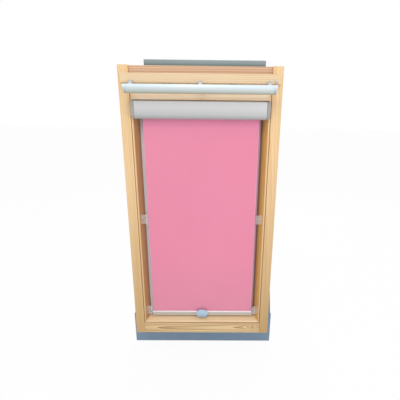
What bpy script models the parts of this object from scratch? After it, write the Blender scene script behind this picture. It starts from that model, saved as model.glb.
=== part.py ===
"""Centre-pivot pine roof window, 74 x 140 cm, with a claw-held roller blind.

World axes, metres: +X to the right seen from the room, +Z up along the window, +Y outwards.
The origin is the middle of the underside of the frame's sill. Depths are measured outwards from
the room face of the jambs, and y_at() turns a depth into a world Y.
"""

import math

import bmesh
import bpy
import numpy as np
from mathutils import Matrix, Vector

# Gaps and fits
SEAT = 0.0003  # faces that touch on the real window
SIDE_GAP = 0.0025  # between sash stile and jamb
END_GAP = 0.0045  # between sash rails and head or sill, for the swing of their corners

# Frame
FRAME_W = 0.740
FRAME_H = 1.400
FRAME_DEPTH = 0.100
JAMB_W = 0.047
SILL_H = 0.064
HEAD_H = 0.056
HEAD_DROP = 0.0005  # the head's top lies lower than the jambs' ends
HEAD_RECESS = 0.012  # the head's room face lies behind the jambs'
ARRIS = 0.0015  # eased edges of the timber
LINING_GROOVE_DEPTH = 0.012
LINING_GROOVE_W = 0.017
LINING_GROOVE_IN = 0.008
SILL_FALL = 0.006  # the sill's top falls outwards

# Sash timber
STRIP = 0.008  # flat room face round the reveal
SPLAY = 0.018  # how far the reveal leans inwards
REVEAL_DEPTH = 0.045
GLASS_BED = 0.050  # depth of the rebate's floor, where the glass rests
SASH_DEPTH = 0.080
REBATE_LIP = 0.006  # timber outside the glass edge
TOP_RAIL_FACE = 0.085  # flat height of the top rail's room face

# Glazing
PANE = 0.004
CAVITY = 0.016
PANE_EDGE_GAP = 0.0015
SPACER_W = 0.007
SPACER_IN = 0.006
GASKET_T = 0.0018
GASKET_SHOWS = 0.021  # width of grey gasket seen inside the reveal

# Pivot hinges
PIVOT_DEPTH = 0.038
PIVOT_PLATE_H = 0.120
PIVOT_PLATE_W = 0.030
PIVOT_PLATE_T = 0.0025
PIVOT_BOSS_R = 0.008
PIVOT_BOSS_IN = 0.0085
PIVOT_CLEAR = 0.0004

# Seals on the jambs
SEAL_DEPTH = 0.058
SEAL_W = 0.010
SEAL_T = 0.0019

# Outside covers
COVER_T = 0.0012
SASH_COVER_RISE = 0.009
SASH_COVER_LAP = 0.024
JAMB_COVER_OUT = 0.0185  # flange that stands past the jamb
JAMB_COVER_FOOT_OUT = 0.032  # the flange widens to this at the apron
JAMB_COVER_FOOT_H = 0.195  # height over which it widens
JAMB_COVER_IN = 0.002  # from the jamb's inner face to the upstand
JAMB_COVER_RISE = 0.012
HEAD_COVER_RISE = 0.0072
HOOD_IN = 0.0795  # the hood is this much shorter than the frame at each end
HOOD_MID_X = 0.015  # the hood sits a little right of the middle
HOOD_H = 0.089
HOOD_OVER = 0.041  # how far the hood stands above the frame
HOOD_DEPTH = 0.024
HOOD_ROUND = 0.010
APRON_OUT = 0.0365  # the apron passes the frame by this at each end
APRON_DROP = 0.145
APRON_HEM = 0.006
APRON_UNDER = 0.004  # its top edge lies below the sill's outer edge

# Latch
LATCH_W = 0.070
LATCH_H = 0.028
LATCH_D = 0.018
TONGUE_W = 0.026
TONGUE_T = 0.006
TONGUE_OUT = 0.0022
STRIKE_W = 0.060
STRIKE_D = 0.022
STRIKE_T = 0.0015
LATCH_DEPTH = 0.052

# Ventilation flap and control bar
FLAP_IN = 0.0165  # the flap is this much shorter than the frame at each end
FLAP_H = 0.041
FLAP_T = 0.0188
FLAP_OFF = 0.0012  # clear of the jambs' room faces
FLAP_LAP = 0.0155  # how far the flap laps the sash's top rail
FLAP_EASE = 0.003
FLAP_HINGE_R = 0.0025
FLAP_HINGE_BACK = 0.0038
FLAP_HINGE_UP = 0.0004
FLAP_HINGE_X = 0.150
FLAP_HINGE_L = 0.040
FLAP_LEAF_H = 0.014
FLAP_LEAF_T = 0.0015
FLAP_WEB_T = 0.001
BAR_H = 0.039
BAR_D = 0.020
BAR_MID_DEPTH = -0.058
BAR_DROP = 0.0475  # from the flap's lower edge to the bar's
BAR_IN = 0.033  # the bar is this much shorter than the frame at each end
BAR_END_SLANT = 0.0085
BAR_END_L = 0.019
BRACKET_END_IN = 0.031  # from the bar's end to the middle of an outer bracket
BRACKET_W = 0.019
BRACKET_RISE = 0.019  # how far a bracket shows over the bar
BRACKET_T = 0.004
BRACKET_GRIP = 0.006  # half the height that holds the bar's back
STUD_IN = 0.0185  # from the flap's end
STUD_UP = 0.0085
STUD_R = 0.0065
STUD_OUT = 0.007

# Blind cassette
CLOTH_DEPTH = 0.022
CLOTH_T = 0.0008
CLOTH_IN = 0.020  # from the reveal's inner edge to the cloth
ROLLER_R = 0.0105
ROLL_R = 0.0118  # roller with the turns left on it at rest
ROLLER_WALL = 0.0012
ROLLER_DROP = 0.040  # from the cassette's top to the roller's axis
CASSETTE_FRONT_DEPTH = -0.0265
CASSETTE_DOWN = 0.0055  # from the reveal's upper edge to the cassette's top
CASSETTE_H = 0.080
CASSETTE_END_IN = 0.004  # from the sash's side to the cassette's end
CASSETTE_WALL = 0.0014
CASSETTE_TOP_ROUND = 0.005
CASSETTE_FOOT_ROUND = 0.020
CASSETTE_BACK_OUT = 0.0165  # from the cloth's edge to the end of the back plate
CASSETTE_BACK_DEPTH = 0.0385
CASSETTE_BACK_DOWN = 0.002
CASSETTE_BACK_FOOT = 0.014
CAP_T = 0.0165
CAP_ROUND = 0.0016
CAP_FOOT_ROUND = 0.012  # lower outer corner, seen from the room
BEARING_T = 0.006
BEARING_PIN_R = 0.004
BEARING_OUT = 0.0055  # from the cloth's edge
BEARING_FOOT = 0.012

# Bottom bar, its pins and the handle
RAIL_OUT = 0.004  # the bar passes the cloth by this at each end
RAIL_DEPTH = 0.0135
RAIL_H = 0.0265
RAIL_UP = 0.026  # from the reveal's lower edge to the bar
RAIL_NOSE = 0.004
RAIL_CAP_T = 0.003
PIN_R = 0.0022
PIN_DOWN = 0.004  # from the bar's top to the pins' axis
PIN_SIDE_GAP = 0.0083  # from the pin's end to the reveal
HANDLE_W = 0.064
HANDLE_H = 0.048
HANDLE_D = 0.014
HANDLE_UNDER = 0.004  # it hangs this far below the bar

# Claws that hold the bottom bar near the glass
CLAW_H = 0.048
CLAW_WALL = 0.0024
CLAW_TIP_OUT = 0.0025  # from the cloth's edge to the finger's tip
CLAW_FRONT = 0.0080
CLAW_BACK = 0.0300
CLAW_MID_SHARE = 0.5085  # the middle claws' height, as a share from the pins to the roller
CLAW_FOOT = 0.0075  # a bottom claw reaches this far below the pin
CLAW_PIN_GAP = 0.0035
CLAW_SHELF_T = 0.004

# Worked out from the sizes above
HALF_W = FRAME_W / 2
JAMB_IN = HALF_W - JAMB_W
HEAD_TOP = FRAME_H - HEAD_DROP
HEAD_BOTTOM = HEAD_TOP - HEAD_H
STILE_OUT = JAMB_IN - SIDE_GAP
SASH_BOTTOM = SILL_H + END_GAP
SASH_TOP = HEAD_BOTTOM - END_GAP
REVEAL_OUT = STILE_OUT - STRIP
REVEAL_IN = REVEAL_OUT - SPLAY
REVEAL_TOP = SASH_TOP - TOP_RAIL_FACE
REVEAL_BOTTOM = SASH_BOTTOM + STRIP
GLASS_HALF_W = STILE_OUT - REBATE_LIP - PANE_EDGE_GAP
GLASS_BOTTOM = SASH_BOTTOM + REBATE_LIP + PANE_EDGE_GAP
GLASS_TOP = REVEAL_TOP + (STRIP - REBATE_LIP) - PANE_EDGE_GAP
INNER_PANE = GLASS_BED + GASKET_T + 2 * SEAT
OUTER_PANE = INNER_PANE + PANE + CAVITY
PIVOT_Z = (SASH_TOP + SASH_BOTTOM) / 2
HOOD_W = FRAME_W - 2 * HOOD_IN
HOOD_TOP = FRAME_H + HOOD_OVER
APRON_W = FRAME_W + 2 * APRON_OUT
APRON_TOP = SILL_H - SILL_FALL - APRON_UNDER
FLAP_W = FRAME_W - 2 * FLAP_IN
FLAP_BOTTOM = SASH_TOP - FLAP_LAP
FLAP_HINGE_Z = FLAP_BOTTOM + FLAP_HINGE_UP
BAR_TOP_W = FRAME_W - 2 * BAR_IN
BAR_BOTTOM = FLAP_BOTTOM - BAR_DROP
BAR_TOP = BAR_BOTTOM + BAR_H
BRACKET_REACH = BAR_TOP_W / 2 - BRACKET_END_IN
CASSETTE_TOP = REVEAL_TOP - CASSETTE_DOWN
CASSETTE_BOTTOM = CASSETTE_TOP - CASSETTE_H
CASSETTE_FRONT_W = 2 * (STILE_OUT - CASSETTE_END_IN - CAP_T - SEAT)
CLOTH_W = 2 * (REVEAL_IN - CLOTH_IN)
CASSETTE_BACK_W = CLOTH_W + 2 * CASSETTE_BACK_OUT
CASSETTE_BACK_TOP = CASSETTE_TOP - CASSETTE_BACK_DOWN - SPLAY * CASSETTE_BACK_DEPTH / REVEAL_DEPTH
ROLLER_Z = CASSETTE_TOP - ROLLER_DROP
ROLLER_DEPTH = CLOTH_DEPTH - CLOTH_T / 2 - ROLL_R
RAIL_W = CLOTH_W + 2 * RAIL_OUT
RAIL_BOTTOM = REVEAL_BOTTOM + RAIL_UP
RAIL_FRONT = CLOTH_DEPTH - RAIL_DEPTH / 2
PIN_Z = RAIL_BOTTOM + RAIL_H - PIN_DOWN
RAIL_CAP_OUT = RAIL_W / 2 + SEAT + RAIL_CAP_T
CLAW_MID_Z = PIN_Z + CLAW_MID_SHARE * (ROLLER_Z - PIN_Z)


def y_at(depth):
    """World Y of a depth behind the room face of the jambs."""
    return depth - FRAME_DEPTH / 2


def reveal_x(depth):
    """Half width of the reveal at a depth."""
    share = (depth - ARRIS) / (REVEAL_DEPTH - ARRIS)
    return REVEAL_OUT - SPLAY * share


PIN_REACH = reveal_x(CLOTH_DEPTH) - PIN_SIDE_GAP
CLAW_TIP_X = CLOTH_W / 2 + CLAW_TIP_OUT


def clear_scene():
    for obj in list(bpy.data.objects):
        bpy.data.objects.remove(obj, do_unlink=True)


def collection(name):
    made = bpy.data.collections.new(name)
    bpy.context.scene.collection.children.link(made)
    return made


def finish(name, colour, roughness, metallic=0.0, transmission=0.0):
    """A Principled material of one colour."""
    material = bpy.data.materials.new(name)
    material.use_nodes = True
    shader = material.node_tree.nodes["Principled BSDF"]
    shader.inputs["Base Color"].default_value = (*colour, 1.0)
    shader.inputs["Roughness"].default_value = roughness
    shader.inputs["Metallic"].default_value = metallic
    shader.inputs["Transmission Weight"].default_value = transmission
    return material


clear_scene()
PARTS = collection("roof_window_with_blind")
CUTTERS = collection("cutters")

PINE = finish("pine", (0.80, 0.60, 0.36), 0.45)
GREY_ALUMINIUM = finish("grey_aluminium", (0.23, 0.30, 0.36), 0.45, 0.6)
SILVER_ALUMINIUM = finish("silver_aluminium", (0.80, 0.82, 0.84), 0.32, 0.8)
CASSETTE_GREY = finish("cassette_grey", (0.62, 0.62, 0.64), 0.40, 0.2)
GREY_PLASTIC = finish("grey_plastic", (0.50, 0.51, 0.53), 0.50)
CLEAR_PLASTIC = finish("clear_plastic", (0.72, 0.70, 0.68), 0.25)
PALE_BLUE_PLASTIC = finish("pale_blue_plastic", (0.45, 0.60, 0.72), 0.30)
RUBBER = finish("rubber", (0.28, 0.29, 0.31), 0.80)
GLASS = finish("glass", (0.85, 0.92, 0.92), 0.05, 0.0, 0.9)
STEEL = finish("steel", (0.62, 0.62, 0.60), 0.35, 0.9)
PINK_CLOTH = finish("pink_cloth", (0.86, 0.28, 0.42), 0.80)


def arc(centre, radius, start, end, steps):
    """Points on an arc, angles in degrees."""
    angles = np.radians(np.linspace(start, end, steps + 1))
    return [(centre[0] + radius * math.cos(a), centre[1] + radius * math.sin(a)) for a in angles]


def sheet_outline(path, wall):
    """The closed outline of a folded sheet: a path and the same path set off to its left by the wall."""
    points = np.array(path, float)
    steps = np.diff(points, axis=0)
    steps /= np.linalg.norm(steps, axis=1)[:, None]
    normals = np.stack([-steps[:, 1], steps[:, 0]], axis=1)
    first, last = normals[:1], normals[-1:]
    joined = np.concatenate([first, normals[:-1] + normals[1:], last])
    joined /= np.linalg.norm(joined, axis=1)[:, None]
    nearest = np.concatenate([normals, last])
    reach = wall / np.maximum((joined * nearest).sum(axis=1), 0.3)
    offset = points + joined * reach[:, None]
    return [tuple(p) for p in points] + [tuple(p) for p in offset[::-1]]


def mesh_of(curve_object):
    """The curve's evaluated mesh, with its caps welded to its sides."""
    graph = bpy.context.evaluated_depsgraph_get()
    mesh = bpy.data.meshes.new_from_object(curve_object.evaluated_get(graph))
    work = bmesh.new()
    work.from_mesh(mesh)
    bmesh.ops.remove_doubles(work, verts=work.verts, dist=1e-6)
    bmesh.ops.recalc_face_normals(work, faces=work.faces)
    work.to_mesh(mesh)
    work.free()
    return mesh


# How local X, Y and the extrusion lie in the world, for each direction that a profile runs in
RUNS = {
    "X": Matrix(((0, 0, 1), (1, 0, 0), (0, 1, 0))),
    "Y": Matrix(((1, 0, 0), (0, 0, -1), (0, 1, 0))),
    "Z": Matrix(((1, 0, 0), (0, 1, 0), (0, 0, 1))),
}


def extrusion(name, outline, run, start, end, material=None):
    """A closed outline extruded from start to end along a world axis.

    Along X the outline is in (Y, Z), along Y in (X, Z), along Z in (X, Y).
    """
    curve = bpy.data.curves.new(name, "CURVE")
    curve.dimensions = "2D"
    curve.fill_mode = "BOTH"
    curve.extrude = (end - start) / 2
    spline = curve.splines.new("POLY")
    spline.points.add(len(outline) - 1)
    for point, (a, b) in zip(spline.points, outline):
        point.co = (a, b, 0, 1)
    spline.use_cyclic_u = True
    flat = bpy.data.objects.new(name + "_outline", curve)
    PARTS.objects.link(flat)
    bpy.context.view_layer.update()
    mesh = mesh_of(flat)
    bpy.data.objects.remove(flat, do_unlink=True)
    turn = RUNS[run].to_4x4()
    along = turn @ Vector((0, 0, (start + end) / 2 * (-1 if run == "Y" else 1)))
    mesh.transform(Matrix.Translation(along) @ turn)
    return placed(name, mesh, material)


def placed(name, mesh, material=None):
    mesh.name = name
    obj = bpy.data.objects.new(name, mesh)
    if material is None:
        CUTTERS.objects.link(obj)
        obj.hide_render = True
        obj.display_type = "WIRE"
    else:
        mesh.materials.clear()
        mesh.materials.append(material)
        PARTS.objects.link(obj)
    return obj


def box(name, low, high, material=None, bevel=0.0):
    """A box between two corners, with its edges rounded when a bevel is given."""
    low, high = Vector(low), Vector(high)
    mesh = bpy.data.meshes.new(name)
    work = bmesh.new()
    bmesh.ops.create_cube(work, size=1.0)
    bmesh.ops.scale(work, verts=work.verts, vec=high - low)
    bmesh.ops.translate(work, verts=work.verts, vec=(low + high) / 2)
    work.to_mesh(mesh)
    work.free()
    obj = placed(name, mesh, material)
    if bevel:
        round_edges(obj, bevel)
    return obj


def round_edges(obj, width, segments=2):
    modifier = obj.modifiers.new("rounded", "BEVEL")
    modifier.width = width
    modifier.segments = segments
    modifier.limit_method = "ANGLE"
    modifier.angle_limit = math.radians(40)


def cylinder(name, centre, radius, length, run, material=None, sides=24):
    """A closed cylinder centred on a point, running along a world axis."""
    mesh = bpy.data.meshes.new(name)
    work = bmesh.new()
    bmesh.ops.create_cone(
        work, cap_ends=True, segments=sides, radius1=radius, radius2=radius, depth=length
    )
    turn = {
        "X": Matrix.Rotation(math.pi / 2, 4, "Y"),
        "Y": Matrix.Rotation(math.pi / 2, 4, "X"),
        "Z": Matrix.Identity(4),
    }[run]
    bmesh.ops.transform(work, matrix=Matrix.Translation(centre) @ turn, verts=work.verts)
    work.to_mesh(mesh)
    work.free()
    obj = placed(name, mesh, material)
    smooth(obj)
    return obj


def smooth(obj):
    obj.data.shade_smooth()
    obj.data.set_sharp_from_angle(angle=math.radians(35))


def combine(obj, other, operation):
    modifier = obj.modifiers.new(operation.lower(), "BOOLEAN")
    modifier.operation = operation
    modifier.object = other
    return obj


def cut(obj, *cutters):
    for cutter in cutters:
        combine(obj, cutter, "DIFFERENCE")
    return obj


def join(obj, *helpers):
    for helper in helpers:
        combine(obj, helper, "UNION")
    return obj


def axis_empty(name, location, parent=None):
    """An empty on a joint's axis, which carries the pieces that move about it."""
    empty = bpy.data.objects.new(name, None)
    PARTS.objects.link(empty)
    empty.location = location
    if parent is not None:
        empty.parent = parent
        empty.matrix_parent_inverse = Matrix.Translation(parent_place(parent)).inverted()
    return empty


def parent_place(empty):
    """World place of an axis empty, which holds its own world location."""
    return empty.location


def carried(empty, *pieces):
    for piece in pieces:
        piece.parent = empty
        piece.matrix_parent_inverse = Matrix.Translation(parent_place(empty)).inverted()


def mirrored(outline, side):
    """An outline drawn for +X, turned over for the left side."""
    return outline if side > 0 else [(-a, b) for a, b in reversed(outline)]


def span(side, near, far):
    """Low and high X of a stretch that lies near to far from the middle."""
    return (near, far) if side > 0 else (-far, -near)


SIDES = (("left", -1), ("right", 1))


def frame_jamb(side_name, side):
    front, back = y_at(0), y_at(FRAME_DEPTH)
    groove_a = y_at(LINING_GROOVE_DEPTH)
    groove_b = groove_a + LINING_GROOVE_W
    outline = [
        (JAMB_IN, front + ARRIS), (JAMB_IN + ARRIS, front),
        (HALF_W - ARRIS, front), (HALF_W, front + ARRIS),
        (HALF_W, groove_a), (HALF_W - LINING_GROOVE_IN, groove_a),
        (HALF_W - LINING_GROOVE_IN, groove_b), (HALF_W, groove_b),
        (HALF_W, back - ARRIS), (HALF_W - ARRIS, back), (JAMB_IN + ARRIS, back), (JAMB_IN, back - ARRIS),
    ]
    jamb = extrusion(
        f"frame_jamb_{side_name}", mirrored(outline, side), "Z", 0, FRAME_H, PINE
    )
    low, high = span(side, JAMB_IN - SEAT, JAMB_IN + PIVOT_PLATE_T + SEAT)
    pocket = box(
        f"pivot_pocket_{side_name}",
        (low, y_at(PIVOT_DEPTH) - PIVOT_PLATE_W / 2 - SEAT, PIVOT_Z - PIVOT_PLATE_H / 2 - SEAT),
        (high, y_at(PIVOT_DEPTH) + PIVOT_PLATE_W / 2 + SEAT, PIVOT_Z + PIVOT_PLATE_H / 2 + SEAT),
    )
    return cut(jamb, pocket)


def frame_head():
    front, back = y_at(HEAD_RECESS), y_at(FRAME_DEPTH)
    groove_a = y_at(LINING_GROOVE_DEPTH) + HEAD_RECESS
    groove_b = groove_a + LINING_GROOVE_W
    top = HEAD_TOP
    outline = [
        (front, HEAD_BOTTOM + ARRIS), (front + ARRIS, HEAD_BOTTOM),
        (back, HEAD_BOTTOM), (back, top), (groove_b, top), (groove_b, top - LINING_GROOVE_IN),
        (groove_a, top - LINING_GROOVE_IN), (groove_a, top), (front + ARRIS, top), (front, top - ARRIS),
    ]
    head = extrusion("frame_head", outline, "X", -JAMB_IN + SEAT, JAMB_IN - SEAT, PINE)
    strike_seat = box(
        "strike_seat",
        (-STRIKE_W / 2 - SEAT, y_at(LATCH_DEPTH) - STRIKE_D / 2 - SEAT, HEAD_BOTTOM - SEAT),
        (STRIKE_W / 2 + SEAT, y_at(LATCH_DEPTH) + STRIKE_D / 2 + SEAT, HEAD_BOTTOM + STRIKE_T + SEAT),
    )
    return cut(head, strike_seat)


def frame_sill():
    front, back = y_at(0), y_at(FRAME_DEPTH)
    groove_a = y_at(LINING_GROOVE_DEPTH)
    groove_b = groove_a + LINING_GROOVE_W
    outline = [
        (front + ARRIS, 0), (groove_a, 0), (groove_a, LINING_GROOVE_IN), (groove_b, LINING_GROOVE_IN),
        (groove_b, 0), (back, 0), (back, SILL_H - SILL_FALL), (front + 0.030, SILL_H),
        (front + ARRIS, SILL_H), (front, SILL_H - ARRIS), (front, ARRIS),
    ]
    return extrusion("frame_sill", outline, "X", -JAMB_IN + SEAT, JAMB_IN - SEAT, PINE)


def stile_outline(grow=0.0):
    """Section of a stile in (x, y) for the right side: flat strip, splayed reveal, glass rebate."""
    front = y_at(0)
    lip = STILE_OUT - REBATE_LIP
    return [
        (REVEAL_OUT + ARRIS / 2 - grow, front), (STILE_OUT - ARRIS, front), (STILE_OUT, front + ARRIS),
        (STILE_OUT, y_at(SASH_DEPTH)), (lip - grow, y_at(SASH_DEPTH)), (lip - grow, y_at(GLASS_BED)),
        (REVEAL_IN - grow, y_at(GLASS_BED)), (REVEAL_IN - grow, y_at(REVEAL_DEPTH)),
        (REVEAL_OUT - grow, front + ARRIS),
    ]


def sash_stile(side_name, side):
    stile = extrusion(
        f"sash_stile_{side_name}", mirrored(stile_outline(), side), "Z", SASH_BOTTOM, SASH_TOP, PINE
    )
    low, high = span(side, STILE_OUT - PIVOT_PLATE_T - SEAT, STILE_OUT + SEAT)
    plate_seat = box(
        f"stile_pocket_{side_name}",
        (low, y_at(PIVOT_DEPTH) - PIVOT_PLATE_W / 2 - SEAT, PIVOT_Z - PIVOT_PLATE_H / 2 - SEAT),
        (high, y_at(PIVOT_DEPTH) + PIVOT_PLATE_W / 2 + SEAT, PIVOT_Z + PIVOT_PLATE_H / 2 + SEAT),
    )
    reach = SIDE_GAP + PIVOT_BOSS_IN + 0.001
    bore = cylinder(
        f"stile_bore_{side_name}",
        (side * (JAMB_IN - reach / 2), y_at(PIVOT_DEPTH), PIVOT_Z),
        PIVOT_BOSS_R + PIVOT_CLEAR, reach, "X",
    )
    return cut(stile, plate_seat, bore)


def rail_outline(top):
    """Section of a rail in (y, z). The top rail has a taller flat room face than the bottom one."""
    front = y_at(0)
    edge = SASH_TOP if top else SASH_BOTTOM
    way = -1 if top else 1
    face = REVEAL_TOP if top else REVEAL_BOTTOM
    lip = GLASS_TOP + PANE_EDGE_GAP if top else SASH_BOTTOM + REBATE_LIP
    outline = [
        (front + ARRIS, edge), (front, edge + way * ARRIS), (front, face - way * ARRIS / 2),
        (front + ARRIS, face), (y_at(REVEAL_DEPTH), face + way * SPLAY),
        (y_at(GLASS_BED), face + way * SPLAY), (y_at(GLASS_BED), lip),
        (y_at(SASH_DEPTH), lip), (y_at(SASH_DEPTH), edge),
    ]
    return outline if top else outline[::-1]


def coped(rail):
    """A rail whose ends are cut to the stiles' section, so that the splays meet in the corners."""
    for side_name, side in SIDES:
        cutter = extrusion(
            f"cope_{rail.name}_{side_name}", mirrored(stile_outline(SEAT), side), "Z",
            SASH_BOTTOM - 0.01, SASH_TOP + 0.01,
        )
        cut(rail, cutter)
    return rail


def sash_rails():
    span_x = STILE_OUT - 2 * ARRIS
    bottom = coped(extrusion("sash_bottom_rail", rail_outline(False), "X", -span_x, span_x, PINE))
    top = coped(extrusion("sash_top_rail", rail_outline(True), "X", -span_x, span_x, PINE))
    latch_pocket = box(
        "latch_pocket",
        (-LATCH_W / 2 - SEAT, y_at(LATCH_DEPTH) - LATCH_D / 2 - SEAT, SASH_TOP - LATCH_H - SEAT),
        (LATCH_W / 2 + SEAT, y_at(LATCH_DEPTH) + LATCH_D / 2 + SEAT, SASH_TOP + 0.002),
    )
    return bottom, cut(top, latch_pocket)


def glass_pane(name, depth):
    return box(
        name,
        (-GLASS_HALF_W, y_at(depth), GLASS_BOTTOM),
        (GLASS_HALF_W, y_at(depth) + PANE, GLASS_TOP),
        GLASS,
    )


def ring(name, outer, inner, depth_a, depth_b, material):
    """A flat rectangular ring: outer and inner are (half width, bottom, top)."""
    body = box(
        name, (-outer[0], y_at(depth_a), outer[1]), (outer[0], y_at(depth_b), outer[2]), material
    )
    opening = box(
        name + "_opening",
        (-inner[0], y_at(depth_a) - 0.001, inner[1]), (inner[0], y_at(depth_b) + 0.001, inner[2]),
    )
    return cut(body, opening)


def glazing():
    inner = glass_pane("glass_inner", INNER_PANE)
    outer = glass_pane("glass_outer", OUTER_PANE)
    far, near = SPACER_IN, SPACER_IN + SPACER_W
    spacer = ring(
        "glass_spacer",
        (GLASS_HALF_W - far, GLASS_BOTTOM + far, GLASS_TOP - far),
        (GLASS_HALF_W - near, GLASS_BOTTOM + near, GLASS_TOP - near),
        INNER_PANE + PANE + SEAT, OUTER_PANE - SEAT, GREY_ALUMINIUM,
    )
    shows = GASKET_SHOWS
    gasket = ring(
        "glazing_gasket",
        (GLASS_HALF_W, GLASS_BOTTOM, GLASS_TOP),
        (REVEAL_IN - shows, REVEAL_BOTTOM + SPLAY + shows, REVEAL_TOP - SPLAY - shows),
        GLASS_BED + SEAT, GLASS_BED + SEAT + GASKET_T, RUBBER,
    )
    return inner, outer, spacer, gasket


def pivot_hinge(side_name, side):
    """The frame's plate with its boss, and the sash's plate that turns on the boss."""
    low, high = span(side, JAMB_IN, JAMB_IN + PIVOT_PLATE_T)
    half_h, half_w = PIVOT_PLATE_H / 2, PIVOT_PLATE_W / 2
    place_y = y_at(PIVOT_DEPTH)
    fixed = box(
        f"pivot_plate_frame_{side_name}",
        (low, place_y - half_w, PIVOT_Z - half_h), (high, place_y + half_w, PIVOT_Z + half_h), STEEL,
    )
    reach = SIDE_GAP + PIVOT_BOSS_IN + PIVOT_PLATE_T / 2
    boss = cylinder(
        f"pivot_boss_{side_name}",
        (side * (JAMB_IN + PIVOT_PLATE_T / 2 - reach / 2), place_y, PIVOT_Z),
        PIVOT_BOSS_R, reach, "X",
    )
    join(fixed, boss)
    low, high = span(side, STILE_OUT - PIVOT_PLATE_T, STILE_OUT)
    turning = box(
        f"pivot_plate_sash_{side_name}",
        (low, place_y - half_w, PIVOT_Z - half_h), (high, place_y + half_w, PIVOT_Z + half_h), STEEL,
    )
    hole = cylinder(
        f"pivot_hole_{side_name}", (side * STILE_OUT, place_y, PIVOT_Z),
        PIVOT_BOSS_R + PIVOT_CLEAR, 4 * PIVOT_PLATE_T, "X",
    )
    return fixed, cut(turning, hole)


def jamb_seal(side_name, side):
    """A rubber strip with a rounded bead on the jamb's inner face."""
    half = SEAL_W / 2
    mid = y_at(SEAL_DEPTH + PIVOT_PLATE_W / 2)
    outline = [
        (JAMB_IN - SEAT, mid + half), (JAMB_IN - SEAT - SEAL_T * 0.4, mid + half),
        *arc((JAMB_IN - SEAT - SEAL_T * 0.4, mid), SEAL_T * 0.6, 90, 270, 6),
        (JAMB_IN - SEAT - SEAL_T * 0.4, mid - half), (JAMB_IN - SEAT, mid - half),
    ]
    return extrusion(
        f"jamb_seal_{side_name}", mirrored(outline, side), "Z",
        SILL_H + SEAT, HEAD_BOTTOM - SEAT, RUBBER,
    )


def jamb_cover(side_name, side):
    """Folded aluminium over the jamb's outside, with an upstand inside. Its flange widens at the foot."""
    seat = y_at(FRAME_DEPTH) + SEAT
    rise = seat + JAMB_COVER_RISE
    path = [
        (JAMB_IN + JAMB_COVER_IN, seat + JAMB_COVER_IN), (JAMB_IN + JAMB_COVER_IN, rise),
        (HALF_W - 0.006, rise), (HALF_W - 0.002, seat), (HALF_W + JAMB_COVER_FOOT_OUT, seat),
    ]
    cover = extrusion(
        f"jamb_cover_{side_name}", mirrored(sheet_outline(path, COVER_T), side), "Z",
        APRON_TOP + 2 * SEAT, HEAD_BOTTOM - SEAT, GREY_ALUMINIUM,
    )
    edge, foot, past = HALF_W + JAMB_COVER_OUT, HALF_W + JAMB_COVER_FOOT_OUT, HALF_W + 2 * JAMB_COVER_FOOT_OUT
    trim = extrusion(
        f"cover_trim_{side_name}",
        mirrored([
            (edge, APRON_TOP + JAMB_COVER_FOOT_H), (foot, APRON_TOP), (past, APRON_TOP),
            (past, FRAME_H), (edge, FRAME_H),
        ], side),
        "Y", seat - JAMB_COVER_RISE, rise + JAMB_COVER_RISE,
    )
    return cut(cover, trim)


def head_cover():
    """Folded aluminium over the head's outside, lapped by the hood."""
    seat = y_at(FRAME_DEPTH) + SEAT
    top = HEAD_TOP
    low = HEAD_BOTTOM + COVER_T + SEAT
    path = [
        (seat, low), (seat + HEAD_COVER_RISE, low),
        (seat + HEAD_COVER_RISE, top - 0.014), (seat, top - 0.004),
    ]
    return extrusion("head_cover", sheet_outline(path, -COVER_T), "X", -HALF_W, HALF_W, GREY_ALUMINIUM)


def vent_hood():
    """The rounded hood over the ventilation slot, outside the head."""
    front = y_at(FRAME_DEPTH) + SEAT + HEAD_COVER_RISE + COVER_T + SEAT
    back = front + HOOD_DEPTH
    low = HOOD_TOP - HOOD_H
    outline = [
        (front, low), (back, low), *arc((back - HOOD_ROUND, HOOD_TOP - HOOD_ROUND), HOOD_ROUND, 0, 90, 6),
        (front, HOOD_TOP),
    ]
    return extrusion(
        "vent_hood", outline, "X", HOOD_MID_X - HOOD_W / 2, HOOD_MID_X + HOOD_W / 2, GREY_ALUMINIUM
    )


def sill_apron():
    """The aluminium apron that laps the sill's outside and hangs below the frame, with a turned hem."""
    seat = y_at(FRAME_DEPTH) + SEAT
    path = [
        (seat, APRON_TOP), (seat, -APRON_DROP + APRON_HEM),
        (seat + APRON_HEM * 0.6, -APRON_DROP),
    ]
    return extrusion(
        "sill_apron", sheet_outline(path, COVER_T), "X", -APRON_W / 2, APRON_W / 2, GREY_ALUMINIUM
    )


def sash_cover_outline():
    """Section of a side cover in (x, y): it caps the stile's end and laps the glass."""
    seat = y_at(SASH_DEPTH) + SEAT
    rise = seat + SASH_COVER_RISE
    return sheet_outline(
        [
            (STILE_OUT - 0.0010, seat), (STILE_OUT - 0.0010, rise),
            (STILE_OUT - SASH_COVER_LAP + 0.004, rise), (STILE_OUT - SASH_COVER_LAP, seat + COVER_T),
        ],
        COVER_T,
    )


def sash_covers():
    made = []
    inset = SASH_COVER_LAP + 2 * SEAT
    for side_name, side in SIDES:
        made.append(extrusion(
            f"sash_cover_{side_name}", mirrored(sash_cover_outline(), side), "Z",
            SASH_BOTTOM + 0.001, SASH_TOP - 0.001, GREY_ALUMINIUM,
        ))
    seat = y_at(SASH_DEPTH) + SEAT
    rise = seat + SASH_COVER_RISE
    half = STILE_OUT - inset
    for name, edge, way, lap in (
        ("sash_cover_bottom", SASH_BOTTOM, 1, SASH_COVER_LAP),
        ("sash_cover_top", SASH_TOP, -1, TOP_RAIL_FACE + SPLAY + 0.004),
    ):
        path = [
            (seat, edge + way * 0.0010), (rise, edge + way * 0.0010),
            (rise, edge + way * (lap - 0.004)), (seat + COVER_T, edge + way * lap),
        ]
        made.append(extrusion(name, sheet_outline(path, -way * COVER_T), "X", -half, half, GREY_ALUMINIUM))
    return made


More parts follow.
